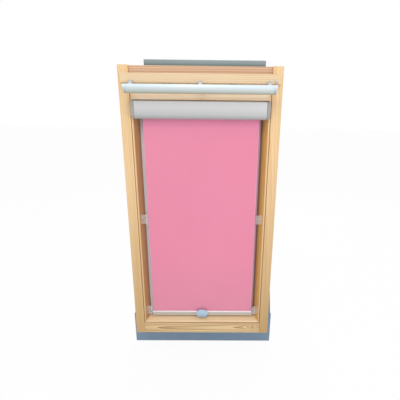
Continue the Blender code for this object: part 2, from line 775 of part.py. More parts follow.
def latch():
    """The latch case in the top rail, its tongue, and the strike plate in the head."""
    place_y = y_at(LATCH_DEPTH)
    case = box(
        "latch_case",
        (-LATCH_W / 2, place_y - LATCH_D / 2, SASH_TOP - LATCH_H),
        (LATCH_W / 2, place_y + LATCH_D / 2, SASH_TOP), STEEL,
    )
    slot = box(
        "tongue_slot",
        (-TONGUE_W / 2 - SEAT, place_y - TONGUE_T / 2 - SEAT, SASH_TOP - LATCH_H / 2),
        (TONGUE_W / 2 + SEAT, place_y + TONGUE_T / 2 + SEAT, SASH_TOP + 0.002),
    )
    cut(case, slot)
    low, high = SASH_TOP - LATCH_H / 2 + SEAT, SASH_TOP + TONGUE_OUT
    tongue = extrusion(
        "latch_tongue",
        [(-TONGUE_W / 2, low), (TONGUE_W / 2, low), (TONGUE_W / 2, high - 0.003),
         (TONGUE_W / 2 - 0.003, high), (-TONGUE_W / 2 + 0.003, high), (-TONGUE_W / 2, high - 0.003)],
        "Y", place_y - TONGUE_T / 2, place_y + TONGUE_T / 2, STEEL,
    )
    strike = box(
        "latch_strike",
        (-STRIKE_W / 2, place_y - STRIKE_D / 2, HEAD_BOTTOM),
        (STRIKE_W / 2, place_y + STRIKE_D / 2, HEAD_BOTTOM + STRIKE_T), STEEL,
    )
    mouth = box(
        "strike_mouth",
        (-TONGUE_W / 2 - 0.002, place_y - TONGUE_T / 2 - 0.002, HEAD_BOTTOM - 0.001),
        (TONGUE_W / 2 + 0.002, place_y + TONGUE_T / 2 + 0.002, HEAD_BOTTOM + STRIKE_T + 0.001),
    )
    return case, tongue, cut(strike, mouth)


def vent_flap():
    back, front = y_at(-FLAP_OFF), y_at(-FLAP_OFF - FLAP_T)
    top = FLAP_BOTTOM + FLAP_H
    ease = FLAP_EASE
    outline = [
        (front + ease, FLAP_BOTTOM), (back, FLAP_BOTTOM), (back, top - ARRIS), (back - ARRIS, top),
        *arc((front + ease, top - ease), ease, 90, 180, 4),
        *arc((front + ease, FLAP_BOTTOM + ease), ease, 180, 270, 4)[:-1],
    ]
    flap = extrusion("vent_flap", outline[::-1], "X", -FLAP_W / 2, FLAP_W / 2, PINE)
    for side_name, side in SIDES:
        half = FLAP_HINGE_L / 2 + 0.001
        clear = FLAP_HINGE_R + 0.0008
        notch = box(
            f"flap_notch_{side_name}",
            (side * FLAP_HINGE_X - half, y_at(-FLAP_HINGE_BACK) - clear, FLAP_BOTTOM - 0.001),
            (side * FLAP_HINGE_X + half, back + 0.001, FLAP_HINGE_Z + clear),
        )
        cut(flap, notch)
    return flap


def flap_hinge(side_name, side):
    """The hinge barrel on the flap's axis and the leaf that screws to the sash's top rail."""
    mid = side * FLAP_HINGE_X
    half = FLAP_HINGE_L / 2
    barrel = cylinder(
        f"flap_hinge_{side_name}", (mid, y_at(-FLAP_HINGE_BACK), FLAP_HINGE_Z),
        FLAP_HINGE_R, FLAP_HINGE_L, "X", STEEL, 16,
    )
    leaf = box(
        f"flap_leaf_{side_name}",
        (mid - half, y_at(-SEAT - FLAP_LEAF_T), FLAP_HINGE_Z - FLAP_LEAF_H),
        (mid + half, y_at(-SEAT), FLAP_HINGE_Z),
    )
    web = box(
        f"flap_web_{side_name}",
        (mid - half, y_at(-FLAP_HINGE_BACK), FLAP_HINGE_Z - SEAT - FLAP_WEB_T),
        (mid + half, y_at(-SEAT), FLAP_HINGE_Z - SEAT),
    )
    return join(barrel, leaf, web)


def bar_outline():
    """Section of the control bar in (y, z): a tall oval with a flatter back."""
    mid_y, mid_z = y_at(BAR_MID_DEPTH), BAR_BOTTOM + BAR_H / 2
    angles = np.radians(np.arange(0, 360, 15))
    power = 0.72
    return [
        (
            mid_y + math.copysign(abs(math.cos(a)) ** power, math.cos(a)) * BAR_D / 2,
            mid_z + math.copysign(abs(math.sin(a)) ** power, math.sin(a)) * BAR_H / 2,
        )
        for a in angles
    ]


def control_bar():
    """The bar, two end pieces with slanted ends, three brackets and the stud beside the right one."""
    inner = BAR_TOP_W / 2 - BAR_END_L
    bar = extrusion("control_bar", bar_outline(), "X", -inner, inner, SILVER_ALUMINIUM)
    smooth(bar)
    pieces = [bar]
    top, bottom = BAR_TOP, BAR_BOTTOM
    far, over = BAR_TOP_W / 2, BAR_D / 2
    for side_name, side in SIDES:
        low, high = span(side, inner + SEAT, far)
        end = extrusion(f"bar_end_{side_name}", bar_outline(), "X", low, high, SILVER_ALUMINIUM)
        wedge = extrusion(
            f"bar_end_slant_{side_name}",
            mirrored([
                (far + BAR_D, bottom - over), (far + BAR_D, top + over),
                (far + BAR_END_SLANT * over / BAR_H, top + over),
                (far - BAR_END_SLANT * (1 + over / BAR_H), bottom - over),
            ], side),
            "Y", y_at(BAR_MID_DEPTH - BAR_D), y_at(BAR_MID_DEPTH + BAR_D),
        )
        cut(end, wedge)
        smooth(end)
        pieces.append(end)
    flap_front = y_at(-FLAP_OFF - FLAP_T) - SEAT
    bar_back = y_at(BAR_MID_DEPTH + BAR_D / 2)
    hold = BAR_BOTTOM + BAR_H / 2
    for name, x in (("left", -BRACKET_REACH), ("centre", 0), ("right", BRACKET_REACH)):
        rise = BAR_TOP + BRACKET_RISE
        foot = FLAP_BOTTOM + BRACKET_T
        outline = [
            (flap_front, foot), (flap_front, rise), (flap_front - BRACKET_T, rise),
            (bar_back + BRACKET_T, top), (bar_back + SEAT, hold + BRACKET_GRIP),
            (bar_back + SEAT, hold - BRACKET_GRIP), (bar_back + BRACKET_GRIP, hold - BRACKET_GRIP),
            (flap_front - BRACKET_GRIP, foot),
        ]
        bracket = extrusion(
            f"bar_bracket_{name}", outline, "X", x - BRACKET_W / 2, x + BRACKET_W / 2, SILVER_ALUMINIUM
        )
        pieces.append(bracket)
    stud = cylinder(
        "flap_stud", (FLAP_W / 2 - STUD_IN, flap_front - STUD_OUT / 2, FLAP_BOTTOM + STUD_UP),
        STUD_R, STUD_OUT, "Y", SILVER_ALUMINIUM, 16,
    )
    pieces.append(stud)
    return pieces


def cassette_path():
    """Outer path of the cassette's front cover in (y, z): flat top, slightly full front, turned under."""
    front = y_at(CASSETTE_FRONT_DEPTH)
    rear = y_at(-SEAT)
    top, foot = CASSETTE_TOP_ROUND, CASSETTE_FOOT_ROUND
    return [
        (rear, CASSETTE_TOP), *arc((front + top + SEAT, CASSETTE_TOP - top), top, 90, 170, 4),
        (front, CASSETTE_TOP - CASSETTE_H / 2),
        *arc((front + foot, CASSETTE_BOTTOM + foot), foot, 184, 262, 7),
        (rear, CASSETTE_BOTTOM + SEAT),
    ]


def cap_corner(side_name, side):
    """Cutter that rounds a cap's lower outer corner."""
    outer = CASSETTE_FRONT_W / 2 + SEAT + CAP_T
    inner, past = outer - CAP_FOOT_ROUND, outer + CAP_FOOT_ROUND
    middle, under = CASSETTE_BOTTOM + CAP_FOOT_ROUND, CASSETTE_BOTTOM - CAP_FOOT_ROUND
    outline = [*arc((inner, middle), CAP_FOOT_ROUND, -90, 0, 8), (past, middle), (past, under), (inner, under)]
    return extrusion(
        f"cap_corner_{side_name}", mirrored(outline, side), "Y",
        y_at(CASSETTE_FRONT_DEPTH - CAP_FOOT_ROUND), y_at(CAP_FOOT_ROUND),
    )


def cassette():
    cover = extrusion(
        "cassette_cover", sheet_outline(cassette_path(), CASSETTE_WALL), "X",
        -CASSETTE_FRONT_W / 2, CASSETTE_FRONT_W / 2, CASSETTE_GREY,
    )
    smooth(cover)
    back_path = [
        (y_at(SEAT), CASSETTE_TOP - CASSETTE_BACK_DOWN),
        (y_at(CASSETTE_BACK_DEPTH), CASSETTE_BACK_TOP),
        (y_at(CASSETTE_BACK_DEPTH), ROLLER_Z - CASSETTE_BACK_FOOT),
    ]
    half = CASSETTE_BACK_W / 2
    back = extrusion("cassette_back", sheet_outline(back_path, -CASSETTE_WALL), "X", -half, half, CASSETTE_GREY)
    pieces = [cover, back]
    for side_name, side in SIDES:
        near = CASSETTE_FRONT_W / 2 + SEAT
        low, high = span(side, near, near + CAP_T)
        cap = extrusion(f"cassette_cap_{side_name}", cassette_path(), "X", low, high, GREY_PLASTIC)
        round_edges(cap, CAP_ROUND)
        pieces.append(cut(cap, cap_corner(side_name, side)))
    return pieces


def roller():
    """The roller tube with the turns of cloth on it, its two end plugs, and their bearings."""
    centre_y = y_at(ROLLER_DEPTH)
    half = CLOTH_W / 2
    tube = cylinder("roller_tube", (0, centre_y, ROLLER_Z), ROLLER_R, CLOTH_W + 0.004, "X",
                    SILVER_ALUMINIUM, 32)
    bore = cylinder("roller_bore", (0, centre_y, ROLLER_Z), ROLLER_R - ROLLER_WALL, CLOTH_W + 0.02, "X",
                    None, 32)
    cut(tube, bore)
    roll = cylinder("cloth_roll", (0, centre_y, ROLLER_Z), ROLL_R, CLOTH_W, "X", PINK_CLOTH, 32)
    core = cylinder("roll_core", (0, centre_y, ROLLER_Z), ROLLER_R + SEAT / 3, CLOTH_W + 0.02, "X", None, 32)
    cut(roll, core)
    pieces = [tube, roll]
    bearings = []
    for (side_name, side), plug_name in zip(SIDES, ("spring_plug", "idler_plug")):
        inner = ROLLER_R - ROLLER_WALL - SEAT / 3
        plug = cylinder(
            plug_name, (side * (half - 0.010), centre_y, ROLLER_Z), inner, 0.022, "X", GREY_PLASTIC, 24
        )
        flange = cylinder(
            f"{plug_name}_flange", (side * (half + 0.0035), centre_y, ROLLER_Z),
            ROLLER_R, 0.002, "X", None, 24,
        )
        spigot = cylinder(
            f"{plug_name}_spigot", (side * (half + 0.006), centre_y, ROLLER_Z),
            BEARING_PIN_R, 0.010, "X", None, 16,
        )
        neck = cylinder(
            f"{plug_name}_neck", (side * (half - 0.001), centre_y, ROLLER_Z), inner, 0.0095, "X", None, 24
        )
        join(plug, neck, flange, spigot)
        pieces.append(plug)
        near = half + BEARING_OUT
        low, high = span(side, near, near + BEARING_T)
        bearing = box(
            f"roller_bearing_{side_name}",
            (low, y_at(SEAT * 2), ROLLER_Z - BEARING_FOOT),
            (high, y_at(CASSETTE_BACK_DEPTH) - CASSETTE_WALL - SEAT, CASSETTE_BACK_TOP - CASSETTE_WALL - SEAT),
            GREY_PLASTIC,
        )
        eye = cylinder(
            f"bearing_eye_{side_name}", (side * (near + BEARING_T / 2), centre_y, ROLLER_Z),
            BEARING_PIN_R + SEAT, 3 * BEARING_T, "X", None, 16,
        )
        bearings.append(cut(bearing, eye))
    return pieces, bearings


def blind_cloth():
    """The hanging cloth: a thin sheet from the roll to the bottom bar."""
    return box(
        "blind_cloth",
        (-CLOTH_W / 2, y_at(CLOTH_DEPTH - CLOTH_T / 2), RAIL_BOTTOM + RAIL_H + SEAT),
        (CLOTH_W / 2, y_at(CLOTH_DEPTH + CLOTH_T / 2), ROLLER_Z),
        PINK_CLOTH,
    )


def bottom_bar():
    """The bottom bar, its end caps with the pins, and the oval handle."""
    front, back = y_at(RAIL_FRONT), y_at(RAIL_FRONT + RAIL_DEPTH)
    top = RAIL_BOTTOM + RAIL_H
    nose = RAIL_NOSE
    outline = [
        (back, RAIL_BOTTOM), (back, top), (front + nose, top),
        *arc((front + nose, top - nose), nose, 90, 180, 5)[1:],
        *arc((front + nose, RAIL_BOTTOM + nose), nose, 180, 270, 5),
    ]
    bar = extrusion("bottom_bar", outline, "X", -RAIL_W / 2, RAIL_W / 2, SILVER_ALUMINIUM)
    smooth(bar)
    pieces = [bar]
    for side_name, side in SIDES:
        low, high = span(side, RAIL_W / 2 + SEAT, RAIL_CAP_OUT)
        cap = extrusion(f"bottom_bar_cap_{side_name}", outline, "X", low, high, GREY_PLASTIC)
        length = PIN_REACH - RAIL_CAP_OUT + RAIL_CAP_T / 2
        pin = cylinder(
            f"bottom_bar_pin_{side_name}", (side * (PIN_REACH - length / 2), y_at(CLOTH_DEPTH), PIN_Z),
            PIN_R, length, "X", None, 12,
        )
        pieces.append(join(cap, pin))
    return pieces + [pull_handle()]


def pull_handle():
    """An oval, dished grip on the front of the bottom bar."""
    back = y_at(RAIL_FRONT) - SEAT
    mid_z = RAIL_BOTTOM - HANDLE_UNDER + HANDLE_H / 2
    mesh = bpy.data.meshes.new("pull_handle")
    work = bmesh.new()
    rings = 7
    sides = 32
    angles = np.linspace(0, 2 * math.pi, sides, endpoint=False)
    loops = []
    for step in range(rings):
        share = step / (rings - 1)
        swell = 0.80 + 0.20 * math.sin(math.pi * share * 0.75 + 0.35)
        y = back - HANDLE_D * share
        loops.append([
            work.verts.new((
                math.cos(a) * HANDLE_W / 2 * swell, y, mid_z + math.sin(a) * HANDLE_H / 2 * swell
            ))
            for a in angles
        ])
    for lower, upper in zip(loops, loops[1:]):
        for i in range(sides):
            j = (i + 1) % sides
            work.faces.new((lower[i], lower[j], upper[j], upper[i]))
    work.faces.new(loops[0][::-1])
    work.faces.new(loops[-1])
    bmesh.ops.recalc_face_normals(work, faces=work.faces)
    work.to_mesh(mesh)
    work.free()
    handle = placed("pull_handle", mesh, PALE_BLUE_PLASTIC)
    smooth(handle)
    return handle


def claw(name, side, middle_z, shelf):
    """A clip screwed to the reveal: its finger keeps the bar's pin near the glass."""
    seat_front = reveal_x(CLAW_FRONT) - SEAT * 1.1
    seat_back = reveal_x(CLAW_BACK) - SEAT * 1.1
    wall_x = PIN_REACH + CLAW_PIN_GAP
    front, back = y_at(CLAW_FRONT), y_at(CLAW_BACK)
    outline = [
        (seat_front, front), (seat_back, back), (wall_x, back), (wall_x, front + CLAW_WALL + 0.0035),
        (CLAW_TIP_X, front + CLAW_WALL + 0.0010), (CLAW_TIP_X, front + 0.0004),
        (CLAW_TIP_X + 0.003, front - 0.0008), (wall_x, front - 0.0004),
    ]
    clip = extrusion(
        name, mirrored(outline, side)[::-1], "Z", middle_z - CLAW_H / 2, middle_z + CLAW_H / 2,
        CLEAR_PLASTIC,
    )
    if shelf:
        low, high = span(side, RAIL_CAP_OUT + 0.002, wall_x + 0.001)
        under = PIN_Z - PIN_R - SEAT
        ledge = box(
            f"{name}_shelf",
            (low, front + CLAW_WALL, under - CLAW_SHELF_T), (high, back - 0.001, under),
        )
        join(clip, ledge)
    return clip


def claws():
    made = []
    for side_name, side in SIDES:
        made.append(claw(f"mid_claw_{side_name}", side, CLAW_MID_Z, False))
        made.append(claw(f"bottom_claw_{side_name}", side, PIN_Z - CLAW_FOOT + CLAW_H / 2, True))
    return made


def build():
    """Makes every piece and hangs the moving ones on their axes."""
    for side_name, side in SIDES:
        frame_jamb(side_name, side)
    frame_head()
    frame_sill()
    pivot = axis_empty("sash_pivot", (0, y_at(PIVOT_DEPTH), PIVOT_Z))
    flap_axis = axis_empty("flap_axis", (0, y_at(-FLAP_HINGE_BACK), FLAP_HINGE_Z), pivot)
    roller_axis = axis_empty("roller_axis", (0, y_at(ROLLER_DEPTH), ROLLER_Z), pivot)
    travel = axis_empty("bottom_bar_travel", (0, y_at(CLOTH_DEPTH), PIN_Z), pivot)
    for side_name, side in SIDES:
        carried(pivot, sash_stile(side_name, side), flap_hinge(side_name, side))
        fixed, turning = pivot_hinge(side_name, side)
        carried(pivot, turning)
        jamb_seal(side_name, side)
        jamb_cover(side_name, side)
    carried(pivot, *sash_rails(), *glazing(), *sash_covers())
    case, tongue, strike = latch()
    carried(pivot, case, tongue)
    head_cover()
    vent_hood()
    sill_apron()
    carried(flap_axis, vent_flap(), *control_bar())
    carried(pivot, *cassette(), *claws(), blind_cloth())
    turning, bearings = roller()
    carried(roller_axis, *turning)
    carried(pivot, *bearings)
    carried(travel, *bottom_bar())


build()
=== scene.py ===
"""Dressed view of a centre-pivot pine roof window, 74 x 140 cm, with a claw-held roller blind.

Metres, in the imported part's frame: +X to the right seen from the room, +Z up along the window,
+Y outwards. Timber, covers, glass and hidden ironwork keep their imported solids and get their
finishes here. The blind, its fittings, the control bar and the fixings are made here as surfaces.
"""

import logging
import math
from dataclasses import dataclass
from enum import Enum
from typing import Dict, Optional, Sequence, Tuple

import bpy
import numpy as np
from mathutils import Matrix, Vector


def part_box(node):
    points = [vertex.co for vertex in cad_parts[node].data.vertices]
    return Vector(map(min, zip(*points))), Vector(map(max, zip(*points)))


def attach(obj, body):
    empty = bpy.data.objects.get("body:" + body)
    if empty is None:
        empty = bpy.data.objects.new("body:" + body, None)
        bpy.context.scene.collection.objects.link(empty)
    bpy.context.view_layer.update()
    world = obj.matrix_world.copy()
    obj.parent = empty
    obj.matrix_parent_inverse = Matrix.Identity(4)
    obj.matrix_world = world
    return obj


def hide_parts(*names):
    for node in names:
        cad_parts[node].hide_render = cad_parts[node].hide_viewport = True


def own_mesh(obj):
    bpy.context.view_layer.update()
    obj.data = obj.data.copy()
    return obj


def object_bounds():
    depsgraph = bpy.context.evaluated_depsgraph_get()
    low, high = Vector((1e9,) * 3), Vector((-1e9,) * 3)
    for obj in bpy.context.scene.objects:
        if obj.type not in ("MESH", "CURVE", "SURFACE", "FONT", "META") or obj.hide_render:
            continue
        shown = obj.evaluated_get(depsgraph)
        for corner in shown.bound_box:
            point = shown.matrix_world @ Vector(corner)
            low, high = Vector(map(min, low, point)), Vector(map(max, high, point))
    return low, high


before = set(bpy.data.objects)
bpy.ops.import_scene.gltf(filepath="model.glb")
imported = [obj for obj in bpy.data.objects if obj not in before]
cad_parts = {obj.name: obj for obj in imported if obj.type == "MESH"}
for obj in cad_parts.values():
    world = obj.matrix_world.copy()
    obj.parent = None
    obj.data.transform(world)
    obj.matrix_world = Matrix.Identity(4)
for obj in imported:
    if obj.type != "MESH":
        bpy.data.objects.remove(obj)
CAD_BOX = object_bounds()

Array = np.ndarray
Colour = Tuple[float, float, float]
Point = Tuple[float, float, float]
# Painted shade: two heights, and the darker colour painted at and under the lower one
PaintedShade = Tuple[float, float, Colour]
Socket = bpy.types.NodeSocket
LOG = logging.getLogger("roof_window")
SIDES = (("left", -1.0), ("right", 1.0))
PIN_DOWN = 0.004  # how far the bottom bar's pins are under its top
CREASE, CASE_CREASE, GRIP_CREASE = 38.0, 30.0, 60.0  # degrees past which an edge stays sharp
# The reveal's painted shade sets in over REVEAL_FRONT.
REVEAL_FRONT = (-0.0492, -0.0462)  # Y over which a stile's face turns into its splayed reveal
# Painted light on the gasket: a pink cast that grows towards the right, and a painted shadow behind
# the right reveal.
BLIND_SPAN = (-0.24, 0.24)  # X over which the light on the gasket changes
BEHIND_REVEAL = (0.284, 0.287)  # X where the gasket passes behind the right reveal


class Run(Enum):
    """World axis that a section is carried along, or that a board's grain follows."""

    X = 0
    Y = 1
    Z = 2


def tone(red: int, green: int, blue: int) -> Colour:
    """A colour given in display values 0 to 255, as the linear values that a shader takes.

    Args:
        red: Display red.
        green: Display green.
        blue: Display blue.

    Returns:
        Linear red, green and blue, by the display's two-part curve.
    """
    share = np.array([red, green, blue], float) / 255.0
    linear = np.where(share <= 0.04045, share / 12.92, ((share + 0.055) / 1.055) ** 2.4)
    return tuple(float(v) for v in linear)


def node_box(name: str) -> Tuple[Array, Array]:
    """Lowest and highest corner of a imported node, as arrays."""
    low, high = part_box(name)
    return np.array(low, float), np.array(high, float)


def span_beside(name: str, side: float) -> Tuple[float, float]:
    """How far a node's nearer and farther end are from the middle of the window.

    Args:
        name: The node.
        side: The side that it is on, -1 for the left and 1 for the right.

    Returns:
        The two distances.
    """
    low, high = node_box(name)
    return (low[0], high[0]) if side > 0 else (-high[0], -low[0])


# Sections and surfaces


def unit(vectors: Array) -> Array:
    """The vectors divided by their lengths."""
    return vectors / np.maximum(np.linalg.norm(vectors, axis=-1, keepdims=True), 1e-12)


def eased(corners: Sequence[Sequence[float]], radius: float, steps: int) -> Array:
    """A closed outline with its corners rounded.

    Each corner P gives the curve (1-t)^2 A + 2t(1-t) P + t^2 B. A and B lie the radius back along
    the two edges that meet in P, or a little under half an edge back where that is shorter.

    Args:
        corners: Points of the outline.
        radius: Length taken from each edge at a corner.
        steps: Number of short edges in each rounded corner.

    Returns:
        The rounded points.
    """
    points = np.array(corners, float)
    ends = []
    for step in (1, -1):
        edge = np.roll(points, step, axis=0) - points
        reach = np.minimum(radius, 0.49 * np.linalg.norm(edge, axis=1))[:, None]
        ends.append(points + unit(edge) * reach)
    start, middle, end = ends[0][:, None], points[:, None], ends[1][:, None]
    t = np.linspace(0.0, 1.0, steps + 1)[None, :, None]
    curve = (1 - t) ** 2 * start + 2 * t * (1 - t) * middle + t**2 * end
    return curve.reshape(-1, 2)


def outward_normals(outline: Array) -> Array:
    """Normals of a closed outline that point away from what it encloses.

    The normal at a point is the mean of its two edges' normals, lengthened so that an offset
    along it moves both edges by the same distance.

    Args:
        outline: Points of the outline, in either order round.

    Returns:
        One normal for each point.
    """
    following = np.roll(outline, -1, axis=0)
    edges = unit(following - outline)
    area = np.sum(outline[:, 0] * following[:, 1] - outline[:, 1] * following[:, 0])
    sides = np.stack([edges[:, 1], -edges[:, 0]], axis=1) * (1.0 if area > 0 else -1.0)
    joined = unit(sides + np.roll(sides, 1, axis=0))
    return joined / np.maximum(np.sum(joined * sides, axis=1, keepdims=True), 0.35)


def folded(path: Array, wall: float) -> Array:
    """The closed outline of a bent sheet: a path, and the same path moved to its left by the wall.

    Args:
        path: Points of the open path.
        wall: Thickness of the sheet.

    Returns:
        The outline's points.
    """
    steps = unit(np.diff(path, axis=0))
    sides = np.stack([-steps[:, 1], steps[:, 0]], axis=1)
    joined = unit(np.concatenate([sides[:1], sides[:-1] + sides[1:], sides[-1:]]))
    nearest = np.concatenate([sides, sides[-1:]])
    reach = wall / np.maximum(np.sum(joined * nearest, axis=1, keepdims=True), 0.3)
    return np.concatenate([path, (path + joined * reach)[::-1]])


@dataclass
class Shell:
    """Points and faces of a surface before it becomes an object.

    Attributes:
        points: One row of x, y and z for each vertex.
        faces: Vertex numbers of each face.
    """

    points: Array
    faces: list

    @classmethod
    def of_grid(cls, grid: Array, sheet: bool = False) -> "Shell":
        """Faces between neighbouring points of a grid.

        Args:
            grid: Points by row and column.
            sheet: Whether it stays open. Otherwise the last column joins the first, and the first
                and last rows are filled by a face each.

        Returns:
            The surface, facing outwards where it is closed.
        """
        rows, columns = grid.shape[:2]
        index = np.arange(rows * columns).reshape(rows, columns)
        near = index[:, :-1] if sheet else index
        far = index[:, 1:] if sheet else np.roll(index, -1, axis=1)
        quads = np.stack([near[:-1], far[:-1], far[1:], near[1:]], axis=-1).reshape(-1, 4)
        faces = quads.tolist()
        if sheet:
            return cls(grid.reshape(-1, 3), faces)
        faces += [index[0][::-1].tolist(), index[-1].tolist()]
        return cls(grid.reshape(-1, 3), faces).facing_out()

    def facing_out(self) -> "Shell":
        """Turns every face over where the enclosed volume comes out negative.

        The volume is a third of the sum over the faces of centre times area vector, where a
        face's area vector is half the sum of the cross products of its neighbouring corners.

        Returns:
            The same surface.
        """
        volume = 0.0
        for face in self.faces:
            corners = self.points[face]
            across = np.cross(corners, np.roll(corners, -1, axis=0)).sum(axis=0) / 2
            volume += float(corners.mean(axis=0) @ across)
        if volume < 0:
            self.faces = [face[::-1] for face in self.faces]
        return self

    def __add__(self, other: "Shell") -> "Shell":
        """Both surfaces in one."""
        moved = [[i + len(self.points) for i in face] for face in other.faces]
        return Shell(np.concatenate([self.points, other.points]), self.faces + moved)


def joined(shells: Sequence[Shell]) -> Shell:
    """Several surfaces in one."""
    return sum(shells[1:], shells[0])


def in_space(flat: Array, along: Array, run: Run) -> Array:
    """Puts a section's two coordinates and the distance along the run into world order.

    Along X the section is in (y, z), along Y in (x, z) and along Z in (x, y).

    Args:
        flat: The section's two coordinates for each point.
        along: Distance along the run for each point.
        run: Axis of the run.

    Returns:
        World coordinates of each point.
    """
    values = [flat[..., 0], flat[..., 1]]
    values.insert(run.value, np.broadcast_to(along, flat.shape[:-1]))
    return np.stack(values, axis=-1)


def quarter_round(edge: float, steps: int) -> Tuple[Array, Array]:
    """Distances of a quarter round's points from the two faces that it joins.

    At an angle a from 0 to 90 degrees they are edge (1 - sin a) and edge (1 - cos a).

    Args:
        edge: Radius of the quarter round.
        steps: Number of its short edges.

    Returns:
        The shrinking distances and the growing ones.
    """
    angle = np.linspace(0.0, math.pi / 2, steps + 1)
    return edge * (1 - np.sin(angle)), edge * (1 - np.cos(angle))


def carried(outline: Array, run: Run, start: float, end: float, edge: float, steps: int) -> Shell:
    """A closed outline carried along a world axis, with its two end edges rounded.

    Args:
        outline: The section's points.
        run: Axis that it is carried along.
        start: Where the run begins.
        end: Where the run ends.
        edge: Radius of the end edges.
        steps: Number of sections in each rounded edge.

    Returns:
        The closed surface.
    """
    drawn, inside = quarter_round(edge, steps)
    along = np.concatenate([start + inside, (end - inside)[::-1]])
    pulled = np.concatenate([drawn, drawn[::-1]])
    flat = outline[None] - outward_normals(outline)[None] * pulled[:, None, None]
    return Shell.of_grid(in_space(flat, along[:, None], run))


def square_to(axis: Sequence[float]) -> Tuple[Array, Array, Array]:
    """Three unit directions at right angles to each other, of which the third is the axis.

    Args:
        axis: The direction.

    Returns:
        The two directions beside the axis, and the axis.
    """
    way = Vector(axis).normalized()
    across = way.orthogonal().normalized()
    return tuple(np.array(d, float) for d in (across, way.cross(across), way))


def squarish(angle: Array, power: float) -> Tuple[Array, Array]:
    """Sign times size to a power, for cosine and sine: 1 draws a circle, less a squarer shape."""
    return tuple(np.sign(f) * np.abs(f) ** power for f in (np.cos(angle), np.sin(angle)))


def turned(profile: Sequence[Sequence[float]], centre: Point, axis: Sequence[float],
           sides: int = 28) -> Shell:
    """A profile of (radius, height) turned about an axis through a point.

    A point of the surface is centre + height * axis + radius * (cos a * u + sin a * v), where u
    and v are at right angles to the axis.

    Args:
        profile: Radius and height of each ring.
        centre: Point where the height is zero.
        axis: Direction of growing height.
        sides: Number of points round each ring.

    Returns:
        The closed surface.
    """
    rings = np.array(profile, float)
    u, v, w = square_to(axis)
    angle = np.linspace(0, 2 * math.pi, sides, endpoint=False)
    ring = np.cos(angle)[:, None] * u + np.sin(angle)[:, None] * v
    radius, height = rings[:, 0, None, None], rings[:, 1, None, None]
    return Shell.of_grid(np.array(centre, float) + height * w + radius * ring[None])


def screw_head(centre: Point, axis: Sequence[float], radius: float = 0.0034) -> Shell:
    """A pan head with a cross recess.

    Ten rings go from the foot over a steep side to a nearly flat crown. A point falls by the
    recess depth where it is within half a bar's width of an arm of the cross and under 0.6 R
    from the middle.

    Args:
        centre: Middle of the head's underside.
        axis: Direction that the head faces.
        radius: Radius of the head.

    Returns:
        The closed surface.
    """
    height, depth, half_bar = 0.55 * radius, 0.35 * radius, 0.14 * radius
    u, v, w = square_to(axis)
    angle = np.linspace(0, 2 * math.pi, 32, endpoint=False)
    share = np.array([1.0, 1.0, 0.94, 0.8, 0.62, 0.56, 0.42, 0.28, 0.16, 0.05])
    rise = np.array([0.0, 0.35, 0.62, 0.84, 0.93, 0.95, 0.98, 1.0, 1.0, 1.0]) * height
    x, y = share[:, None] * np.cos(angle), share[:, None] * np.sin(angle)
    bar = np.minimum(np.abs(x), np.abs(y)) * radius < half_bar
    lift = rise[:, None] - np.where(bar & (share[:, None] < 0.6), depth, 0.0)
    grid = np.array(centre, float) + (x * radius)[..., None] * u + (y * radius)[..., None] * v
    return Shell.of_grid(grid + lift[..., None] * w)


# Materials


